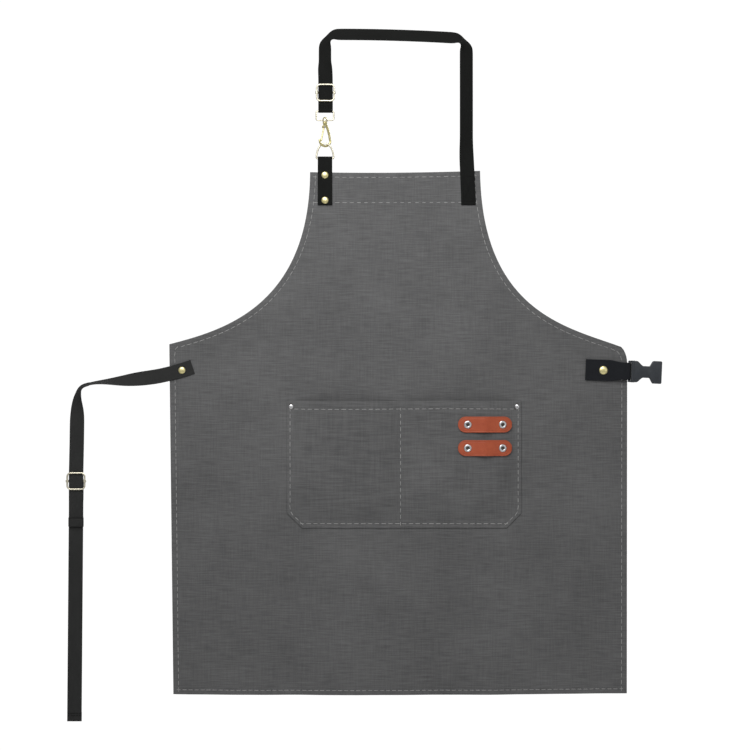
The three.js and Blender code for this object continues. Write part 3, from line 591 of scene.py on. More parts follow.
pocket_across = shares(315.2, 12, 1.5, 2.4)
pocket_up = shares(179, 12, 1.5, 2.6)
foot_left, foot_right = pocket_left + pocket_chamfer, pocket_right - pocket_chamfer
cut_left, cut_right = [[side, pocket_bottom + pocket_chamfer] for side in (pocket_left, pocket_right)]
top_left, top_right = [pocket_left, pocket_top], [pocket_right, pocket_top]
pocket_sides = [
    at_shares([[foot_left, pocket_bottom], [foot_right, pocket_bottom]], pocket_across),
    at_shares([[foot_right, pocket_bottom], cut_right, top_right], pocket_up),
    at_shares([top_left, top_right], pocket_across),
    at_shares([[foot_left, pocket_bottom], cut_left, top_left], pocket_up),
]
pocket = sewn_sheet("pocket_cloth", pocket_sides, [8, 8, 13, 8], hem_section, hang_pocket)
pocket.data.materials.append(canvas)

rows = [every(r, 3) for r in inset(pocket_sides, (6.0, 4.4, pocket_top_row, 4.4))]
rows.append(every([[pocket_divider, pocket_bottom + 6], [pocket_divider, pocket_top - pocket_top_row]], 3))
pocket_stitches = stitched(
    "pocket_stitches", [hang_pocket(r, -0.1) for r in rows], [(0, -1, 0)] * 5, pale_thread, 9.0, 6.0, seed=5
)
for piece in (pocket, pocket_stitches):
    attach(piece, "apron")
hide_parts("pocket_panel")


# =====================================================================================================
# Tool loops: two round-ended strips of reddish-brown leather with rounded edges and a pressed border.
# Each is held to the pocket by two nickel eyelets and stands off the cloth between them.
# =====================================================================================================
loop_centre, loop_length, loop_height, loop_bow = 120.5, 72.8, 21.5, 2.4
loop_rows = (pocket_top - 31.5, pocket_top - 63.0)
loop_eyelets = (loop_centre - 23.2, loop_centre + 23.2)
leather_thick = 1.8


def ribbon(name, centre, across, half_width, front, back, shape_across, cap=0.0):
    """A closed strip. centre and across give its middle line and the direction of its width, one or one for
    each point, and front and back the height of each face above the middle at each place across (-1 to 1)
    and each half width."""
    centre = np.asarray(centre, float)
    across = np.broadcast_to(np.asarray(across, float), centre.shape)
    ahead = unit(np.gradient(centre, axis=0))
    across = unit(across - ahead * (across * ahead).sum(1, keepdims=True))
    normal = np.cross(ahead, across)
    half = np.broadcast_to(np.asarray(half_width, float), (len(centre),))[:, None]
    t = np.asarray(shape_across)[None, :]
    end = run_of(centre)
    end = np.minimum(end, end[-1] - end)
    pinch = np.sqrt(np.clip(1 - (1 - np.clip(end / cap, 0.08, 1)) ** 2, 0, 1))[:, None] if cap else 1.0
    tops = [t * half, -front(t, half) * pinch], [t * half, back(t, half) * pinch]
    faces_of = [
        centre[:, None] + across[:, None] * (w + 0 * h)[..., None] + normal[:, None] * (h + 0 * w)[..., None]
        for w, h in tops
    ]
    ring = np.concatenate([faces_of[0], faces_of[1][:, ::-1]], 1)
    count, sides = ring.shape[:2]
    number = np.arange(count * sides).reshape(count, sides)
    nearer, further = number[:-1], number[1:]
    faces = np.stack([nearer, np.roll(nearer, -1, 1), np.roll(further, -1, 1), further], -1).reshape(-1, 4)
    half_count = sides // 2
    caps = []
    for row, order in ((number[0], -1), (number[-1], 1)):
        for i in range(half_count - 1):
            quad = [row[i], row[i + 1], row[sides - 2 - i], row[sides - 1 - i]]
            caps.append(quad[::order])
    run = run_of(centre)
    uv = np.zeros((count, sides, 2))
    uv[..., 0] = np.concatenate([(t * half), (t * half)[:, ::-1]], 1) * mm
    uv[..., 1] = run[:, None] * mm
    return mesh_piece(name, ring.reshape(-1, 3), faces.tolist() + caps, uv.reshape(-1, 2))


def soft_edge(inside, radius, least):
    """How much of its thickness a strip has at this distance inside its edge."""
    return np.sqrt(np.clip(1 - (1 - np.clip(inside / radius, 0, 1)) ** 2, least, 1))


def leather_face(t, half):
    """A soft round at the edge and a pressed line inside it."""
    inside = (1 - np.abs(t)) * half
    return leather_thick / 2 * soft_edge(inside, 0.8, 0.02) - 0.32 * np.exp(-(((inside - 2.1) / 0.42) ** 2))


def leather_back(t, half):
    return leather_thick / 2 * soft_edge((1 - np.abs(t)) * half, 0.6, 0.02)


# Leather: pebbled grain with fine pores, and broad patches where the dye took more or less
leather, tree, shader = material_of("brown_leather", (0.34, 0.06, 0.024), 0.52, Specular_IOR_Level=0.35)
place = object_place(tree)
cells = {"Vector": place, "Scale": 1500.0, "Randomness": 1.0}
pebbles = node(tree, "ShaderNodeTexVoronoi", cells, feature="F1").outputs["Distance"]
pores = streaks(tree, place, (2600, 2600, 2600), 3)
blush = streaks(tree, place, (60, 60, 90), 4, 0.6)
depth = calc(tree, "MULTIPLY_ADD", pores, 0.5, calc(tree, "MULTIPLY", pebbles, 0.9))
amount = calc(tree, "MULTIPLY_ADD", blush, 0.9, calc(tree, "MULTIPLY", depth, 0.35))
amount = clamped(tree, calc(tree, "SUBTRACT", amount, 0.25))
tinted(tree, shader, amount, (0.285, 0.045, 0.017), (0.475, 0.108, 0.044))
bumped(tree, shader, depth, 0.35, 0.00025)

for name, z in zip(("upper", "lower"), loop_rows):
    off = np.concatenate([
        np.linspace(0.15, 10.7, 26), np.linspace(11.2, loop_length - 11.2, 60),
        loop_length - np.linspace(10.7, 0.15, 26),
    ])
    x = loop_centre - loop_length / 2 + off
    free = loop_length / 2 - 13.2 - 4.6
    lifted = np.where(np.abs(x - loop_centre) < free, np.cos(np.pi * (x - loop_centre) / (2 * free)) ** 2, 0)
    slope = (pocket_middle(x + 1, z) - pocket_middle(x - 1, z)) / 2
    y = pocket_middle(x, z) - (0.5 + 0.3 + leather_thick / 2) * np.sqrt(1 + slope**2) - loop_bow * lifted
    round_end = np.minimum(np.minimum(off, loop_length - off), loop_height / 2)
    half = np.sqrt((loop_height / 2) ** 2 - (loop_height / 2 - round_end) ** 2)
    strip = ribbon(
        "leather_loop_" + name, np.stack([x, y, np.full_like(x, z)], 1), (0, 0, -1), half,
        leather_face, leather_back, np.sin(np.linspace(-0.5, 0.5, 45) * np.pi), cap=1.0,
    )
    strip.data.materials.append(leather)
    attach(strip, "apron")
    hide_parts("tool_loop_" + name)


# =====================================================================================================
# Eyelets and rivets. Nickel eyelets with an open middle hold the tool loops, small domed nickel rivets the
# pocket's corners, and pale brass domes the straps. Each has its post through the cloth and a back plate.
# =====================================================================================================
def turned(name, profile, segments=28):
    """A turned shape about its own Z axis from (radius, height) points in millimetres, closed at the axis."""
    shape = bmesh.new()
    corners = [shape.verts.new((r * mm, 0, h * mm)) for r, h in profile]
    for a, b in zip(corners, corners[1:]):
        shape.edges.new((a, b))
    bmesh.ops.spin(
        shape, geom=shape.verts[:] + shape.edges[:], axis=(0, 0, 1), cent=(0, 0, 0), angle=2 * math.pi,
        steps=segments,
    )
    bmesh.ops.remove_doubles(shape, verts=shape.verts[:], dist=1e-6)
    bmesh.ops.dissolve_degenerate(shape, edges=shape.edges[:], dist=1e-7)
    bmesh.ops.recalc_face_normals(shape, faces=shape.faces[:])
    mesh = bpy.data.meshes.new(name)
    shape.to_mesh(mesh)
    shape.free()
    return bpy.data.objects.new(name, mesh)


rivet_tree, given, result = tree_with(
    "Rivets at places", ("Places", "Geometry", None), ("Rivet", "Object", None), ("Scale", "Float", 1.0),
    ("Seed", "Int", 2), ("Metal", "Material", None),
)
pattern = node(rivet_tree, "GeometryNodeObjectInfo", {"Object": given["Rivet"]}).outputs["Geometry"]
stood_up = aligned(rivet_tree, "Z", own_value(rivet_tree, "facing", "FLOAT_VECTOR"))
spun = node(rivet_tree, "FunctionNodeRandomValue", {
    "Min": (0, 0, 0), "Max": (0, 0, 6.28), "Seed": given["Seed"],
}, data_type="FLOAT_VECTOR")
spun = node(rivet_tree, "FunctionNodeEulerToRotation", {0: spun.outputs[0]}).outputs[0]
stood_up = node(rivet_tree, "FunctionNodeRotateRotation", {
    "Rotation": stood_up, "Rotate By": spun,
}, rotation_space="LOCAL").outputs[0]
set_in = node(rivet_tree, "GeometryNodeInstanceOnPoints", {
    "Points": given["Places"], "Instance": pattern, "Rotation": stood_up, "Scale": given["Scale"],
}).outputs[0]
finish_tree(rivet_tree, set_in, given["Metal"], result)


def riveted(name, places, facings, pattern, metal, scale=1.0):
    """One mesh of the pattern standing at each place, in millimetres, and facing each way."""
    source = path_object([np.array([p], float) for p in places], [np.array([f], float) for f in facings])
    bpy.context.scene.collection.objects.link(pattern)
    made = grown(name, source, rivet_tree, Rivet=pattern, Metal=metal, Scale=scale)
    bpy.data.objects.remove(pattern)
    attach(made, "apron")
    return made


def metal_of(name, dark, light, roughness, scale=240.0):
    """Plated metal: slight clouding of its colour and roughness, and fine handling marks."""
    made, tree, shader = material_of(name, light, roughness, Metallic=1.0)
    place = object_place(tree)
    cloud = streaks(tree, place, (scale, scale, scale), 4, 0.6)
    marks = streaks(tree, place, (scale * 3, scale * 3, scale * 18), 2)
    tinted(tree, shader, cloud, dark, light)
    spread = node(tree, "ShaderNodeMapRange", {
        "Value": cloud, "To Min": roughness * 0.75, "To Max": roughness * 1.35,
    })
    tree.links.new(spread.outputs[0], shader.inputs["Roughness"])
    bumped(tree, shader, marks, 0.12, 0.00005)
    return made


nickel = metal_of("nickel_plate", (0.42, 0.42, 0.43), (0.74, 0.74, 0.75), 0.26)
brass = metal_of("pale_brass", (0.60, 0.52, 0.21), (0.90, 0.83, 0.48), 0.34)
gold = metal_of("pale_gold_plate", (0.52, 0.48, 0.36), (0.75, 0.72, 0.60), 0.36)
warm_gold = metal_of("warm_gold_plate", (0.48, 0.42, 0.16), (0.78, 0.71, 0.38), 0.36)

slopes = [(pocket_middle(x + 1, loop_rows[0]) - pocket_middle(x - 1, loop_rows[0])) / 2 for x in loop_eyelets]
eyelet_places, eyelet_facings, eyelet_backs = [], [], []
for z in loop_rows:
    for x, slope in zip(loop_eyelets, slopes):
        facing_way = unit(np.array([slope, -1.0, 0]))
        base = np.array([x, float(pocket_middle(x, z)), z])
        eyelet_places.append(base + facing_way * 2.75)
        eyelet_backs.append(base - facing_way * 0.75)
        eyelet_facings.append(facing_way)
eyelet = turned("eyelet", [
    (2.3, -1.2), (2.3, 0.35), (2.55, 0.62), (3.0, 0.86), (3.7, 0.95), (4.4, 0.82), (4.95, 0.5), (5.2, 0.08),
    (5.1, -0.15), (4.7, -0.2), (2.9, -0.2), (2.7, -1.2), (2.3, -1.2),
], 32)
eyelets = riveted("loop_eyelets", eyelet_places, eyelet_facings, eyelet, nickel)
loop_rivets = [f"loop_rivet_{row}_{side}" for row in ("upper", "lower") for side in ("left", "right")]
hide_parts(*loop_rivets)

# The post seen down inside each eyelet: near-black, as painted shade in the eyelet's hollow, with a hollow
# rolled end
painted_shade_metal = metal_of("dark_post", (0.02, 0.018, 0.016), (0.10, 0.085, 0.07), 0.42)
post = turned("post", [
    (0, 0.0), (0.7, 0.03), (0.95, 0.22), (1.25, 0.36), (1.55, 0.34), (1.8, 0.12), (2.25, 0.02), (2.4, -0.5),
    (0, -0.5),
], 24)
posts = riveted("loop_eyelet_posts", eyelet_places, eyelet_facings, post, painted_shade_metal)
plate = turned("plate", [
    (1.3, 0.95), (1.1, 0.7), (1.35, 0.35), (2.2, 0.2), (3.4, 0.18), (4.1, 0.0), (4.1, -0.12), (0.9, -0.12),
    (0.9, 0.95), (1.3, 0.95),
], 24)
plates = riveted("loop_eyelet_plates", eyelet_backs, [-f for f in eyelet_facings], plate, nickel)
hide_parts(*[rivet + "_back" for rivet in loop_rivets])

dome = [
    (0, 1.0), (0.2, 0.985), (0.42, 0.92), (0.62, 0.79), (0.78, 0.61), (0.9, 0.38), (0.97, 0.16), (1.0, 0.02),
    (0.985, -0.1), (0.93, -0.16), (0.3, -0.16),
]


def dome_rivet(name, radius, height, post_radius, post_depth):
    profile = [(r * radius, h * height) for r, h in dome]
    post = [(post_radius, -0.16 * height), (post_radius, -post_depth), (0, -post_depth)]
    return turned(name, profile + post)


corner_z = -492.4
corner_places = [(x, float(pocket_front(x, corner_z)) - 0.1, corner_z) for x in (-139.7, 163.9)]
corner_rivets = riveted(
    "pocket_corner_rivets", corner_places, [(0, -1, 0)] * 2, dome_rivet("corner", 3.3, 1.5, 1.1, 2.6), nickel
)
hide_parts("pocket_rivet_left", "pocket_rivet_right")
# A near-black ring round each corner rivet's dome: painted shadow, in the near-black metal
collar = turned("collar", [(3.0, 0.12), (3.7, 0.1), (4.15, -0.05), (3.7, -0.2), (3.0, -0.2), (3.0, 0.12)], 24)
painted_shadow_collars = riveted("pocket_rivet_collars", corner_places, [(0, -1, 0)] * 2, collar, painted_shade_metal)
plate = turned("plate", [
    (0, 0.5), (0.9, 0.45), (1.2, 0.2), (2.2, 0.14), (2.9, 0.0), (2.9, -0.14), (1.0, -0.14), (1.0, -1.4),
    (0, -1.4),
], 24)
corner_plates = riveted(
    "pocket_rivet_plates", [(x, 0.4, z) for x, y, z in corner_places], [(0, 1, 0)] * 2, plate, nickel
)
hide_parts("pocket_rivet_left_back", "pocket_rivet_right_back")


# =====================================================================================================
# Neck tab: a short length of black ribbed webbing folded round the D-ring's bar. One layer lies on the
# bib and one behind it, and two brass rivets go through both.
# =====================================================================================================
strap_width, rib_pitch = 19.5, 1.5
tab_x, chain_y, ring_bar_z = -94.2, 0.5, -158.9
tab_radius, sewn_end = 2.1, -221.7
tape_across = np.concatenate([[-1, -0.987], np.linspace(-0.963, 0.963, 53), [0.987, 1]])


def tape_face(t, half):
    """Half the thickness of ribbed tape, with rounded selvedges."""
    inside = (1 - np.abs(t)) * half
    ribs = 0.5 + 0.065 * np.cos(2 * np.pi * t * half / rib_pitch)
    return ribs * soft_edge(inside, 0.75, 0.04)


def standing_at(x, y, z):
    """The move from the origin to a place in millimetres."""
    return Matrix.Translation((x * mm, y * mm, z * mm))


def arc(a, b, steps, middle, radius):
    """Points on an arc in degrees about a middle."""
    turn = np.radians(np.linspace(a, b, steps + 1))
    return np.stack([middle[0] + radius * np.cos(turn), middle[1] + radius * np.sin(turn)], 1)


def upright(line, x):
    """Points in Y and Z on a plane of constant X."""
    return np.insert(np.asarray(line, float), 0, x, 1)


def dense(points, step=2.2):
    """The line with extra points on its long runs, and every given point kept."""
    made = [np.asarray(points[:1], float)]
    for a, b in zip(points, points[1:]):
        count = max(1, round(np.linalg.norm(np.subtract(b, a)) / step))
        made.append(np.linspace(a, b, count + 1)[1:])
    return np.concatenate(made)


# Webbing: spun polyester with lengthwise ribs and a fine weft, fuzzed all over and unevenly faded
weft_pitch = 0.00125


def webbing_of(name, dark, light):
    made, tree, shader = material_of(name, light, 0.85, Specular_IOR_Level=0.15)
    along = node(tree, "ShaderNodeUVMap", uv_map="along").outputs[0]
    axes = node(tree, "ShaderNodeSeparateXYZ", {0: along})
    weft = calc(tree, "SINE", calc(tree, "MULTIPLY", axes.outputs["Y"], 2 * math.pi / weft_pitch))
    rib = calc(tree, "COSINE", calc(tree, "MULTIPLY", axes.outputs["X"], 2 * math.pi / (rib_pitch * mm)))
    knit = calc(tree, "MULTIPLY", weft, calc(tree, "MULTIPLY_ADD", rib, 0.35, 0.65))
    fuzz = streaks(tree, along, (2200, 700, 1), 3, 0.6)
    wear = streaks(tree, along, (60, 25, 1), 3)
    amount = calc(tree, "MULTIPLY_ADD", fuzz, 0.6, calc(tree, "MULTIPLY", wear, 0.5))
    amount = calc(tree, "MULTIPLY_ADD", rib, 0.2, amount)
    tinted(tree, shader, clamped(tree, calc(tree, "SUBTRACT", amount, 0.05)), dark, light)
    bumped(tree, shader, calc(tree, "MULTIPLY_ADD", fuzz, 0.8, knit), 0.6, 0.00022)
    return made


black_webbing = webbing_of("black_webbing", (0.0022, 0.0024, 0.0022), (0.0080, 0.0085, 0.0077))
# The same black webbing in a lighter colour for the waist strap: the extra lightness is painted light
painted_light_webbing = webbing_of("washed_webbing", (0.0160, 0.0162, 0.0158), (0.0370, 0.0375, 0.0368))
blue_webbing = webbing_of("blue_black_webbing", (0.0065, 0.0072, 0.0088), (0.0165, 0.0180, 0.0215))


def strap(name, centre, across, finish, half=strap_width / 2):
    """A tape of webbing, and its flat width and length in metres."""
    made = ribbon(name, centre, across, half, tape_face, tape_face, tape_across)
    made.data.materials.append(finish)
    return made, (2 * float(np.max(half)) * mm, run_of(np.asarray(centre))[-1] * mm)


tab_line = [(chain_y - tab_radius, sewn_end), (chain_y - tab_radius, ring_bar_z)]
tab_line += arc(180, 0, 14, (chain_y, ring_bar_z), tab_radius)[1:].tolist()
tab_line = dense(upright(tab_line + [(chain_y + tab_radius, sewn_end)], tab_x))
neck_tab, flat = strap("neck_tab_webbing", tab_line, (1, 0, 0), black_webbing)
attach(neck_tab, "apron")
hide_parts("neck_tab")

waist_rivet_x, buckle_rivet_x, tab_z = -286.3, 279.7, -443.6
brass_posts = [(tab_x, -2.25, bib_top - 4), (tab_x, -2.25, bib_top - 37.8), (waist_rivet_x, -2.05, tab_z)]
brass_backs = [(x, 3.5 if x > -100 else 1.1, z) for x, y, z in brass_posts]
brass_domes = riveted(
    "brass_rivets", brass_posts, [(0, -1, 0)] * 3, dome_rivet("brass", 4.9, 2.1, 1.5, 3.4), brass
)
wide_dome = riveted(
    "wide_brass_rivet", [(buckle_rivet_x, -3.5, tab_z)], [(0, -1, 0)], dome_rivet("wide", 5.9, 2.3, 1.8, 4.8),
    brass,
)
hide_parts("neck_rivet_upper", "neck_rivet_lower", "waist_rivet")
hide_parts("buckle_rivet")
brass_backs.append((buckle_rivet_x, 1.1, tab_z))
plate = turned("back", [
    (0, 0.9), (1.0, 0.85), (1.3, 0.55), (1.6, 0.42), (3.4, 0.38), (4.2, 0.2), (4.5, -0.1), (4.4, -0.3),
    (1.4, -0.3), (1.4, -2.2), (0, -2.2),
])
brass_plates = riveted("brass_rivet_backs", brass_backs, [(0, 1, 0)] * 4, plate, brass)
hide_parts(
    "neck_rivet_upper_back", "neck_rivet_lower_back", "waist_rivet_back", "buckle_rivet_back"
)


# =====================================================================================================
# D-ring: one length of pale gold wire bent to a straight bar under half an ellipse, hanging in the tab.
# =====================================================================================================
wire_tree, given, result = tree_with(
    "Wire along a path", ("Path", "Geometry", None), ("Sides", "Int", 14), ("Metal", "Material", None)
)
line = node(wire_tree, "GeometryNodeMeshToCurve", {"Mesh": given["Path"]}).outputs[0]
tube = node(wire_tree, "GeometryNodeCurveToMesh", {
    "Curve": line, "Profile Curve": round_section(wire_tree, given["Sides"], 1.0),
    "Scale": own_value(wire_tree, "thick", "FLOAT"), "Fill Caps": True,
}).outputs[0]
finish_tree(wire_tree, tube, given["Metal"], result)


def wire(name, points, radius, metal, closed=False, sides=14):
    """Round wire along a line in millimetres, its radius one value or one for each point."""
    points = np.asarray(points, float)
    radius = np.broadcast_to(np.asarray(radius, float), (len(points),))
    path = path_object([points], [np.zeros((len(points), 3))], thick=[radius * mm])
    if closed:
        path.data.edges.add(1)
        path.data.edges[-1].vertices = (len(points) - 1, 0)
        path.data.update()
    return grown(name, path, wire_tree, Sides=sides, Metal=metal)


def merged(name, parts, metal):
    """Several closed shapes as one piece in one metal. Each is given alone or with its place."""
    shape = bmesh.new()
    for part in parts:
        part, matrix = part if isinstance(part, tuple) else (part, None)
        if matrix is not None:
            part.data.transform(matrix)
        shape.from_mesh(part.data)
        bpy.data.objects.remove(part)
    mesh = bpy.data.meshes.new(name)
    shape.to_mesh(mesh)
    shape.free()
    mesh.polygons.foreach_set("use_smooth", [True] * len(mesh.polygons))
    mesh.polygons.foreach_set("material_index", [0] * len(mesh.polygons))
    mesh.set_sharp_from_angle(angle=math.radians(38))
    mesh.materials.clear()
    mesh.materials.append(metal)
    return in_scene(name, mesh)


ring_half, ring_height = 11.55, 20.2
turn = np.radians(np.linspace(4, 176, 60))
bow = np.stack([ring_half * np.cos(turn), ring_height * np.sin(turn)], 1)
bar = np.stack([np.linspace(-ring_half + 0.75, ring_half - 0.75, 12), np.full(12, -0.12)], 1)
loop = np.concatenate([bow, bar])
loop = np.stack([tab_x + loop[:, 0], np.full(len(loop), chain_y), ring_bar_z + loop[:, 1]], 1)
d_ring = merged("d_ring_wire", [wire("ring", loop, 1.2, gold, closed=True, sides=18)], gold)
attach(d_ring, "ring")
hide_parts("d_ring")


# =====================================================================================================
# Swivel eye: a rectangular wire loop round the neck strap's end, with a bored hub cast on its lower bar.
# =====================================================================================================
def rounded_rectangle(width, height, corner, steps=10):
    """Points round a rectangle with rounded corners, in X and Z about its middle."""
    made = []
    for sx, sz, start in ((1, 1, 0), (-1, 1, 90), (-1, -1, 180), (1, -1, 270)):
        middle = (sx * (width / 2 - corner), sz * (height / 2 - corner))
        made.append(arc(start, start + 90, steps, middle, corner))
    return np.concatenate(made)


eye_z, hub_z = -95.2, -107.6
loop = dense(np.concatenate([rounded_rectangle(23.5, 12.4, 2.6), [[11.75, 3.6]]]), 1.0)[:-1]
loop = np.stack([tab_x + loop[:, 0], np.full(len(loop), chain_y), (eye_z + hub_z) / 2 + loop[:, 1]], 1)
hub = turned("hub", [
    (1.6, -2.0), (1.75, -2.2), (2.9, -2.2), (3.4, -1.8), (3.55, 0), (3.4, 1.8), (2.9, 2.2), (1.75, 2.2),
    (1.6, 2.0), (1.6, -2.0),
], 32)
eye = merged("swivel_eye_ring", [
    wire("eye", loop, 1.1, gold, closed=True, sides=16),
    (hub, standing_at(tab_x, chain_y, hub_z)),
], gold)
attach(eye, "swivel")
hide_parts("swivel_eye")


# =====================================================================================================
# Snap hook: a cast and plated hook whose shank turns in the hub. Its thick side runs down the right and
# round the bottom to a blunt tip, and two ears under the collar carry the pin of a wire gate.
# =====================================================================================================
hub_top, hub_floor, collar_z = -105.1, -110.1, -114.5
hook_half, hook_wide, bight_z = 6.75, 8.5, -135.85
pin_x, pin_z = -1.9, collar_z - 2.2
hook_yaw = math.radians(35)
hook_place = standing_at(tab_x, chain_y, 0) @ Matrix.Rotation(hook_yaw, 4, "Z")
along_y = Matrix.Rotation(math.radians(-90), 4, "X")


def slab(name, outline, front, back, edge, steps=4):
    """A plate with this outline in X and Z, anticlockwise, between two depths, its edges rounded."""
    outline = np.asarray(outline, float)
    before, after = unit(outline - np.roll(outline, 1, 0)), unit(np.roll(outline, -1, 0) - outline)
    inward = unit(np.stack([-(before + after)[:, 1], (before + after)[:, 0]], 1))
    square = np.stack([-before[:, 1], before[:, 0]], 1)
    reach = (1 / np.maximum(0.5, (inward * square).sum(1)))[:, None]
    rings = []
    for angle in np.linspace(0, np.pi / 2, steps + 1):
        moved = outline + inward * reach * edge * (1 - np.sin(angle))
        rings.append((moved, front + edge * (1 - np.cos(angle))))
    rings += [(ring, back - (depth - front)) for ring, depth in rings[::-1]]
    count = len(outline)
    points = np.concatenate([np.insert(ring, 1, depth, 1) for ring, depth in rings])
    number = np.arange(count)
    faces = [list(range(count)), list(range(count * len(rings) - 1, count * (len(rings) - 1) - 1, -1))]
    for i in range(len(rings) - 1):
        a, b = number + i * count, number + (i + 1) * count
        faces += np.stack([a, b, np.roll(b, -1), np.roll(a, -1)], -1).tolist()
    return mesh_piece(name, points, faces)


def through(points, step):
    """A smooth line through points: a centripetal spline."""
    points = np.asarray(points, float)
    points = np.concatenate([[2 * points[0] - points[1]], points, [2 * points[-1] - points[-2]]])
    made = []
    for p0, p1, p2, p3 in zip(points, points[1:], points[2:], points[3:]):
        d0, d1, d2 = [np.linalg.norm(b - a) ** 0.5 for a, b in ((p0, p1), (p1, p2), (p2, p3))]
        m1 = ((p1 - p0) / d0 - (p2 - p0) / (d0 + d1) + (p2 - p1) / d1) * d1
        m2 = ((p2 - p1) / d1 - (p3 - p1) / (d1 + d2) + (p3 - p2) / d2) * d1
        t = np.linspace(0, 1, 60)[:-1, None]
        leaving = (2 * t**3 - 3 * t**2 + 1) * p1 + (t**3 - 2 * t**2 + t) * m1
        made.append(leaving + (3 * t**2 - 2 * t**3) * p2 + (t**3 - t**2) * m2)
    return every(np.concatenate(made + [points[-2:-1]]), step)


shank = turned("shank", [
    (0, collar_z - 0.6), (1.7, collar_z - 0.4), (2.25, collar_z + 0.3), (2.5, collar_z + 1.6),
    (3.0, hub_floor - 1.9), (3.2, hub_floor - 1.2), (3.15, hub_floor - 0.35), (2.8, hub_floor),
    (1.3, hub_floor), (1.3, hub_top),
    (2.3, hub_top), (2.5, hub_top + 0.3), (2.2, hub_top + 0.9), (1.4, hub_top + 1.6), (0, hub_top + 1.8),
], 32)
thick_side = [
    (0.9, collar_z + 1.5), (3.0, collar_z - 1.6), (5.3, (collar_z + bight_z) / 2 + 3.0), (7.1, bight_z + 7.3),
]
round_part = arc(20, -172, 34, (0, 0), 1) * (hook_wide, hook_half) + (0, bight_z)
tip = [(-hook_wide - 0.2, bight_z + 1.4), (-hook_wide - 0.2, bight_z + 2.5)]
bight = through(np.concatenate([thick_side, round_part, tip]), 0.7)
run = run_of(bight) / run_of(bight)[-1]
bight_radius = 1.75 - 0.3 * smoothstep(run, 0.1, 0.55) - 0.1 * smoothstep(run, 0.6, 0.95)
bight_radius[-1], bight_radius[-2] = 0.75, 1.15
hook_wire = wire("hook", np.insert(bight, 1, 0, 1), bight_radius, warm_gold, sides=18)
parts = [(shank, hook_place), (hook_wire, hook_place)]
ear_root = [(2.5, pin_z + 0.6), (2.5, pin_z + 3.2), (-0.6, pin_z + 3.4)]
ear_line = np.concatenate([arc(120, 300, 14, (pin_x, pin_z), 1.9), ear_root])
for low, high in ((-1.9, -1.0), (1.0, 1.9)):
    parts.append((slab("ear", ear_line, low, high, 0.25, 2), hook_place))
hook = merged("snap_hook", parts, warm_gold)
pin = turned("pin", [
    (0, -2.75), (0.8, -2.7), (1.2, -2.5), (1.3, -2.2), (0.7, -2.2), (0.7, 2.2), (1.3, 2.2), (1.2, 2.5),
    (0.8, 2.7), (0, 2.75),
], 20)
pin_place = hook_place @ standing_at(pin_x, 0, pin_z) @ along_y
gate_pin = merged("gate_hinge_pin", [(pin, pin_place)], nickel)
turn = np.linspace(0, 3.4 * np.pi, 60)
coil = np.stack([1.22 * np.cos(turn), 1.22 * np.sin(turn), np.linspace(-0.83, -0.6, 60)], 1)
coil = np.concatenate([coil, [coil[-1] + (1.6, -3.0, 0)]])
gate_spring = merged("gate_coil_spring", [(wire("coil", coil, 0.13, nickel, sides=8), pin_place)], nickel)
for piece, name in ((hook, "hook_body"), (gate_pin, "gate_pin"), (gate_spring, "gate_spring")):
    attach(piece, "hook")
    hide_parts(name)

# The gate: a straight wire with a flattened eye round the pin, resting against the hook's tip
gate_line = np.array([[pin_x - 0.2, -0.5, pin_z - 1.0], [-6.35, -0.1, bight_z - 0.1]])
gate_line = every(gate_line, 0.8)
gate_radius = np.full(len(gate_line), 1.0)
gate_radius[:2] = 0.6, 0.75
gate_radius[-1] = 0.6
gate_ring = turned("gate eye", [
    (0.98, -0.6), (1.4, -0.6), (1.55, -0.45), (1.55, 0.45), (1.4, 0.6), (0.98, 0.6), (0.98, -0.6),
], 24)
eye_place = hook_place @ standing_at(pin_x, -0.2, pin_z) @ along_y
gate = merged("gate_wire", [
    (wire("gate", gate_line, gate_radius, warm_gold), hook_place), (gate_ring, eye_place),
], warm_gold)
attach(gate, "gate")
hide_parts("hook_gate")


# =====================================================================================================
# Neck strap: one length of black webbing whose end is sewn flat on the right of the bib. It leans back as it
# crosses the top, folds at both corners, and runs down through its slider and the eye to the slider's bar.
# =====================================================================================================
right_x, corner_radius, right_end, left_end = 95.7, 17.0, 2.9, 7.5
leg_top = right_end - corner_radius
strap_y = -1.4


def leaned(centre, tilt):
    """The way the tape's width points: level across its line, leant backwards by tilt in degrees."""
    ahead = unit(np.gradient(centre, axis=0))
    level = unit(np.cross([0, 1.0, 0], ahead))
    tilt = np.radians(np.asarray(tilt, float))[:, None]
    return level * np.cos(tilt) + np.array([0, 1.0, 0]) * np.sin(tilt)


z = np.linspace(sewn_end, leg_top, 98)
sewn_x = right_x + 2.8
right_leg = np.stack([
    right_x + 2.8 * (1 - smoothstep(z, sewn_end, -140)),
    strap_y - 1.17 * np.sin(np.pi * smoothstep(z, bib_top, leg_top)), z,
], 1)
leg_tilt, top_tilt, left_tilt, fold_tilt = 24, 32, 30, 58
right_tilt = leg_tilt * smoothstep(z, bib_top, bib_top + 50)
corner = arc(0, 90, 20, (right_x - corner_radius, right_end - corner_radius), corner_radius)[1:-1]
x = np.linspace(right_x - corner_radius, tab_x + corner_radius, 76)
t = (x[0] - x) / (x[0] - x[-1])
top_run = np.stack([x, np.full(76, strap_y), left_end - (left_end - right_end) * (1 - t) ** 2], 1)
left_corner = arc(90, 180, 20, (tab_x + corner_radius, left_end - corner_radius), corner_radius)[1:-1]
z = np.linspace(left_end - corner_radius, eye_z, 42)
leg_x = tab_x + 0.75
left_leg = np.stack([tab_x + (leg_x - tab_x) * smoothstep(-z, 28, 56), np.full(42, strap_y - 0.1), z], 1)
neck_line = np.concatenate([
    right_leg, np.insert(corner, 1, strap_y, 1), top_run, np.insert(left_corner, 1, strap_y, 1), left_leg,
])
tilt = np.concatenate([
    right_tilt, np.linspace(leg_tilt, top_tilt, 19), np.full(76, top_tilt),
    np.linspace(top_tilt, left_tilt, 19), left_tilt * smoothstep(z, -47, -26),
])
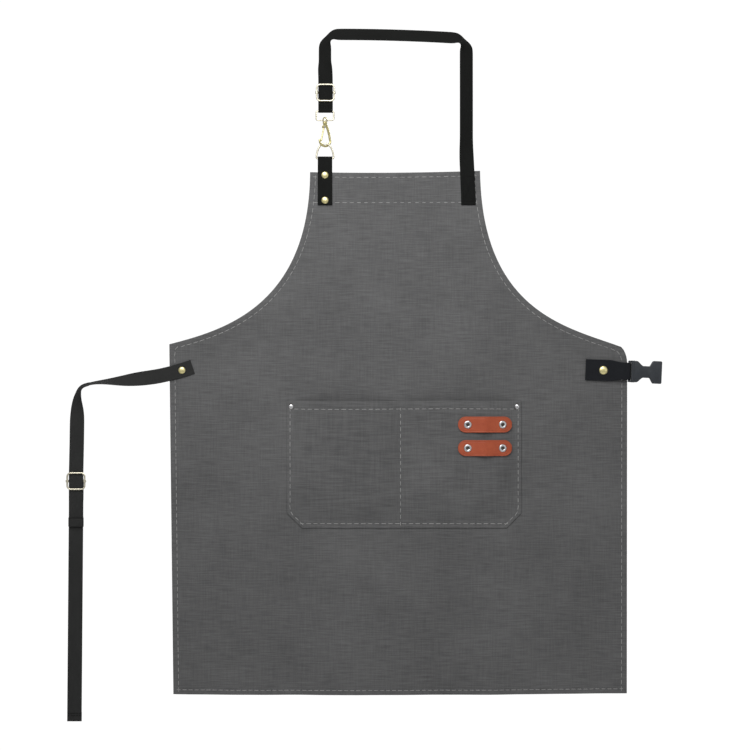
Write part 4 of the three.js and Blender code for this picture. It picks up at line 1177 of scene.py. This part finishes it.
for fold_at in (len(right_leg) + 9, len(right_leg) + 19 + 76 + 9):
    off = np.abs(run_of(neck_line) - run_of(neck_line)[fold_at])
    tilt = tilt + (fold_tilt - tilt[fold_at]) * np.exp(-((off / 8.5) ** 2))
neck_across = leaned(neck_line, tilt)
wrap = upright(arc(180, 350, 14, (chain_y, eye_z), 2.0)[1:], leg_x)
wrap = np.concatenate([wrap, [(leg_x, 2.5, -94.0)]])
neck_line = np.concatenate([neck_line, wrap])
neck_across = np.concatenate([neck_across, np.tile([-1.0, 0, 0], (len(wrap), 1))])
neck_strap, flat = strap("neck_strap_webbing", neck_line, neck_across, black_webbing)
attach(neck_strap, "apron")
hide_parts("neck_strap")

bar_y, neck_slider_z, bar_fold = 1.9, -70.8, 1.9
back_line = [(2.5, -93.7), (2.9, -89.7), (bar_y + bar_fold, -78.8)]
back_line += arc(0, 180, 14, (bar_y, neck_slider_z), bar_fold).tolist() + [(bar_y - bar_fold, -80.8)]
back_line = dense(upright(back_line, leg_x), 1.6)
neck_return, flat = strap("neck_strap_back_layer", back_line, (1, 0, 0), black_webbing)
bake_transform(neck_return)
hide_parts("neck_strap_return")

# Black sewing: a box with a cross on the sewn end, and two rows above the eye
black_thread = thread_of(
    "black_thread", (0.006, 0.006, 0.006), 0.8, (0.003, 0.003, 0.003), (0.010, 0.010, 0.010),
    Specular_IOR_Level=0.1,
)[0]
low, high, out = sewn_end + 5, bib_top - 6, strap_y - 0.55
left, right = sewn_x - 6.8, sewn_x + 6.8
box = [[(left, low), (right, low), (right, high), (left, high), (left, low)]]
box += [[(left, low), (right, high)], [(right, low), (left, high)]]
box += [[(leg_x - 7, z), (leg_x + 7, z)] for z in (-91.2, -88.6)]
rows = [np.insert(dense(np.array(row), 3.0), 1, out - 0.1 * (i > 2), 1) for i, row in enumerate(box)]
neck_sewing = stitched("neck_strap_sewing", rows, [(0, -1, 0)] * 5, black_thread, 3.2, 2.4, 0.26)
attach(neck_sewing, "apron")


# =====================================================================================================
# Sliders: a rounded frame of gold wire in front of each strap, and behind it a bar whose ends are rolled
# round the frame's sides. The neck slider holds its place by friction, and so does the one at the waist.
# =====================================================================================================
def slider(name, x, y, z, body):
    frame_line = dense(np.concatenate([rounded_rectangle(23.5, 21.8, 5.0), [[11.75, 5.8]]]), 1.2)[:-1]
    frame_line = np.stack([x + frame_line[:, 0], np.full(len(frame_line), y), z + frame_line[:, 1]], 1)
    frame = merged(name + "_wire", [wire("frame", frame_line, 1.15, gold, closed=True)], gold)
    deep = 5.3
    path = [(-11.95, y + 1.4), (-11.95, y + deep - 1.0), (-11.55, y + deep - 0.3), (-10.8, y + deep)]
    path = np.array(path + [(-a, b) for a, b in path[::-1]])
    bar = wire("bar", np.insert(dense(path, 1.0), 2, 0, 1) + (x, 0, z), 1.0, gold)
    parts = [bar]
    for side in (-11.65, 11.65):
        sleeve = turned("sleeve", [
            (1.3, -1.6), (1.95, -1.6), (2.15, -1.4), (2.15, 1.4), (1.95, 1.6), (1.3, 1.6), (1.3, -1.6),
        ], 24)
        parts.append((sleeve, standing_at(x + side, y, z)))
    bar = merged(name + "_sleeved_bar", parts, gold)
    for piece, part in ((frame, "_frame"), (bar, "_bar")):
        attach(piece, body)
        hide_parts(name + part)


slider("neck_slider", leg_x, -3.4, neck_slider_z, "neck_slider")


# =====================================================================================================
# Waist strap: black webbing painted lighter to stand in for the light it catches, held by one brass rivet at
# the left waist. It turns on edge where it leaves the apron, falls flat through its slider and ends in a
# small turned hem.
# =====================================================================================================
waist_x, waist_slider_z = -428.5, -592.5
route = [
    (-272.0, -439.0), (waist_rivet_x, tab_z), (-316.3, -451.2), (-358.3, -456.8), (-408.5, -461.5),
    (-422, -467), (-426.3, -479), (-427, -505), (-427.6, -543),
]
route = through([(x, strap_y, z) for x, z in route], 2.0)
x, z = route[:, 0], route[:, 2]
on_edge = np.where(x > -410.5, 1 - smoothstep(x, -410.5, -314.3), np.minimum(1, smoothstep(z, -520, -455)))
across = leaned(route, 80 * on_edge)
tail = [(strap_y, -543), (strap_y, -585), (strap_y, -640), (strap_y - 0.25, -652.2)]
tail += arc(0, -180, 10, (strap_y - 0.9, -652.6), 0.65)[1:].tolist() + [(strap_y - 1.5, -642.5)]
tail = upright(tail, waist_x)
tail[0, 0] = -427.6
tail = dense(tail, 2.2)[1:]
waist_line = np.concatenate([route, tail])
across = np.concatenate([across, np.tile([-1.0, 0, 0], (len(tail), 1))])
hem_width_more = 1 + 0.05 * smoothstep(-waist_line[:, 2], 641, 643)
waist_strap, flat = strap(
    "waist_strap_webbing", waist_line, across, painted_light_webbing, hem_width_more * strap_width / 2
)
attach(waist_strap, "waist")
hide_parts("waist_strap")

slider("waist_slider", waist_x, -3.3, waist_slider_z, "waist_slider")
behind, low_z = 0.1, -915.0
lower = [(behind + 1.5, -903)] + arc(0, -180, 12, (behind + 0.75, low_z + 0.75), 0.75).tolist()
lower += [(behind, waist_slider_z - 30)] + arc(180, 0, 14, (2.0, waist_slider_z), 1.9).tolist()
lower += [(behind + 2.1, waist_slider_z - 14), (behind + 1.5, waist_slider_z - 26)]
lower = dense(upright(lower, waist_x))
lower[:, 0] -= 2.4 * np.clip((-610 - lower[:, 2]) / 305, 0, 1)
lower_strap, flat = strap("waist_strap_lower_webbing", lower, (1, 0, 0), painted_light_webbing)
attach(lower_strap, "waist_slider")
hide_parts("waist_strap_lower")

low_rows = [[(waist_x - 9.9, z), (waist_x + 5.1, z)] for z in (-904.5, -907.5)]
low_rows = [np.insert(dense(np.array(row), 3.0), 1, behind - 0.62, 1) for row in low_rows]
low_sewing = stitched("waist_hem_sewing", low_rows, [(0, -1, 0)] * 2, black_thread, 3.2, 2.4, 0.33)
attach(low_sewing, "waist_slider")
tail_row = dense(np.array([(waist_x - 9, -642.2), (waist_x + 9, -642.2)]), 3.0)
tail_row = np.insert(tail_row, 1, strap_y - 0.7, 1)
tail_sewing = stitched("waist_tail_sewing", [tail_row], [(0, -1, 0)], black_thread, 2.2, 2.1, 0.65)
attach(tail_sewing, "waist")


# =====================================================================================================
# Buckle tab: wider webbing folded round the socket's bar, both layers held to the apron's right waist by
# one large brass rivet. It is gathered a little where it passes round the bar.
# =====================================================================================================
bar_x, socket_y = 314.0, -3.8
tab_start, tab_back, tab_front, tab_fold = 255.7, -1.4, -2.9, 2.4
x = np.linspace(bar_x - 1, tab_start, 27)
lift = smoothstep(x, bar_x - 24, bar_x - 3)
tab_points = np.concatenate([
    np.stack([x[::-1], np.full(27, tab_back)], 1), arc(90, -90, 16, (bar_x, socket_y), tab_fold),
    np.stack([x, tab_front + (socket_y - tab_fold - tab_front) * lift], 1),
])
tab_points = np.insert(tab_points, 2, tab_z, 1)
width = 14 * (1 - (1 - 23.2 / 28) * smoothstep(tab_points[:, 0], bar_x - 26, bar_x - 8))
buckle_tab, flat = strap("buckle_tab_webbing", tab_points, (0, 0, 1), blue_webbing, width)
to_rivet = standing_at(buckle_rivet_x, 0, tab_z)
drooped = to_rivet @ Matrix.Rotation(math.radians(2.4), 4, "Y") @ standing_at(-buckle_rivet_x, 0, -tab_z)
buckle_tab.data.transform(drooped)
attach(buckle_tab, "tab")
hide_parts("buckle_tab")


# =====================================================================================================
# Buckle socket: one moulding in dark grey plastic. A bar between two arms holds the tab, a collar tapers to
# a narrow waist that stands open at both sides, and the mouth for the plug is hollow.
# =====================================================================================================
x = np.concatenate([
    np.linspace(317.1, 319.1, 7), np.linspace(320.2, 333.5, 26), np.linspace(334.2, 341, 6),
    np.linspace(341.4, 347.4, 18), np.linspace(348.5, 355, 5), np.linspace(356, 357.7, 7),
])
half = 14.4 - 6.5 * smoothstep(x, 323.6, 333.0) + 7.3 * smoothstep(x, 340.8, 346.6)
half = half - 1.6 * (1 - np.sqrt(1 - np.clip((319.1 - x) / 2.0, 0, 1) ** 2))
half = half - 1.6 * (1 - np.sqrt(1 - np.clip((x - 356.1) / 1.6, 0, 1) ** 2))
outline = np.concatenate([np.stack([x, -half], 1), np.stack([x, half], 1)[::-1]]) + (0, tab_z)
inner = x < 335.5
block = np.concatenate([np.stack([x, -half], 1)[inner], np.stack([x, half], 1)[inner][::-1]]) * (1, 0.985)
block = block + (0.1, tab_z)
collar_ring = [(317.25, -14.7), (321.2, -14.7), (321.2, 14.7), (317.25, 14.7), (317.25, -14.7)]
collar_ring = dense(np.array(collar_ring), 3)[:-1] + (0, tab_z)
parts = [
    slab("front plate", outline, socket_y - 5.2, socket_y - 2.9, 0.9, 4),
    slab("back plate", outline, socket_y + 2.9, socket_y + 5.2, 0.9, 4),
    slab("solid end", block, socket_y - 4.2, socket_y + 4.2, 0.3, 2),
    slab("collar", collar_ring, socket_y - 5.5, socket_y + 5.5, 1.0, 4),
]
for side in (-1, 1):
    wall = np.array([(346.2, -1.1), (356.9, -1.1), (356.9, 1.1), (346.2, 1.1)]) + (0, tab_z + side * 13.9)
    parts.append(slab("mouth wall", wall, socket_y - 4.6, socket_y + 4.6, 0.3, 2))
    middle = side * 13.15
    arm_root = [(319, middle - 1.4), (319, middle + 1.4)]
    arm_line = np.concatenate([arc(90, 270, 8, (313.9, middle), 1.4), arm_root])
    parts.append(slab("arm", arm_line + (0, tab_z), socket_y - 1.5, socket_y + 1.5, 0.4, 2))
socket_bar = turned("socket bar", [(0, -12.6), (1.35, -12.6), (1.35, 12.6), (0, 12.6)], 24)
parts.append((socket_bar, standing_at(bar_x, socket_y, tab_z)))

# Plastic: satin, with a fine moulded grain
plastic, tree, shader = material_of("dark_plastic", (0.018, 0.022, 0.028), 0.42, Specular_IOR_Level=0.5)
place = object_place(tree)
grain = streaks(tree, place, (1800, 1800, 1800), 2)
cloud = streaks(tree, place, (90, 90, 90), 3)
tinted(tree, shader, cloud, (0.011, 0.014, 0.018), (0.024, 0.029, 0.036))
bumped(tree, shader, grain, 0.25, 0.00008)
socket = merged("buckle_socket_moulding", parts, plastic)
socket.data.transform(drooped)
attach(socket, "buckle")
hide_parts("buckle_socket")


# =====================================================================================================
# Stage: a pale floor well below the hanging apron, soft studio light from the upper left, and the camera
# straight in front of it with a long lens.
# =====================================================================================================
def area_light(name, place, aim, size, power, color=(1, 1, 1)):
    lamp = bpy.data.lights.new(name, "AREA")
    lamp.shape, lamp.size, lamp.size_y, lamp.energy, lamp.color = "RECTANGLE", size[0], size[1], power, color
    made = in_scene(name, lamp)
    made.location = place
    made.rotation_euler = (Vector(aim) - Vector(place)).to_track_quat("-Z", "Y").to_euler()
    made.visible_camera = False
    return made


lamps = [
    area_light("key", (-0.22, -0.93, 0.45), (0.0, 0, -0.26), (1.1, 0.95), 18.6),
    area_light("fill", (1.9, -1.9, -0.1), (0, 0, -0.5), (1.2, 1.6), 4.0),
    area_light("rear", (0.9, 2.4, 0.9), (0, 0, -0.4), (1.6, 1.6), 48),
]
floor_mesh = bpy.data.meshes.new("floor")
floor_x, floor_near, floor_far, floor_z = 4.5, -4.5, 2, -1.25
floor_corners = [(-floor_x, floor_near), (floor_x, floor_near), (floor_x, floor_far), (-floor_x, floor_far)]
floor_mesh.from_pydata([(x, y, floor_z) for x, y in floor_corners], [], [(0, 1, 2, 3)])
floor = in_scene("floor", floor_mesh)
paper, tree, shader = material_of("pale_floor", (0.82, 0.82, 0.82), 0.9)
shader.inputs["Emission Color"].default_value = (1, 1, 1, 1)
seen = node(tree, "ShaderNodeLightPath").outputs["Is Camera Ray"]
tree.links.new(calc(tree, "MULTIPLY_ADD", seen, 0.36, 0.2), shader.inputs["Emission Strength"])
floor_mesh.materials.append(paper)

world = bpy.data.worlds.new("studio")
bpy.context.scene.world = world
world.use_nodes = True
tree = world.node_tree
backdrop = tree.nodes["Background"]
backdrop.inputs["Color"].default_value = (1, 1, 1, 1)
ray = node(tree, "ShaderNodeLightPath").outputs
strength = calc(tree, "MULTIPLY_ADD", ray["Is Glossy Ray"], 0.42, 0.095)
strength = calc(tree, "MULTIPLY_ADD", ray["Is Camera Ray"], 0.94, strength)
tree.links.new(strength, backdrop.inputs["Strength"])
view = bpy.context.scene.view_settings
view.view_transform, view.look, view.exposure, view.gamma = "Standard", "None", 0, 1

lens = bpy.data.cameras.new("front")
lens.lens, lens.sensor_width, lens.clip_end = 135, 36, 30
camera = in_scene("front", lens)
camera.location = (-0.027, -3.779, -0.450)
camera.rotation_euler = (math.radians(90), 0, 0)
bpy.context.scene.camera = camera
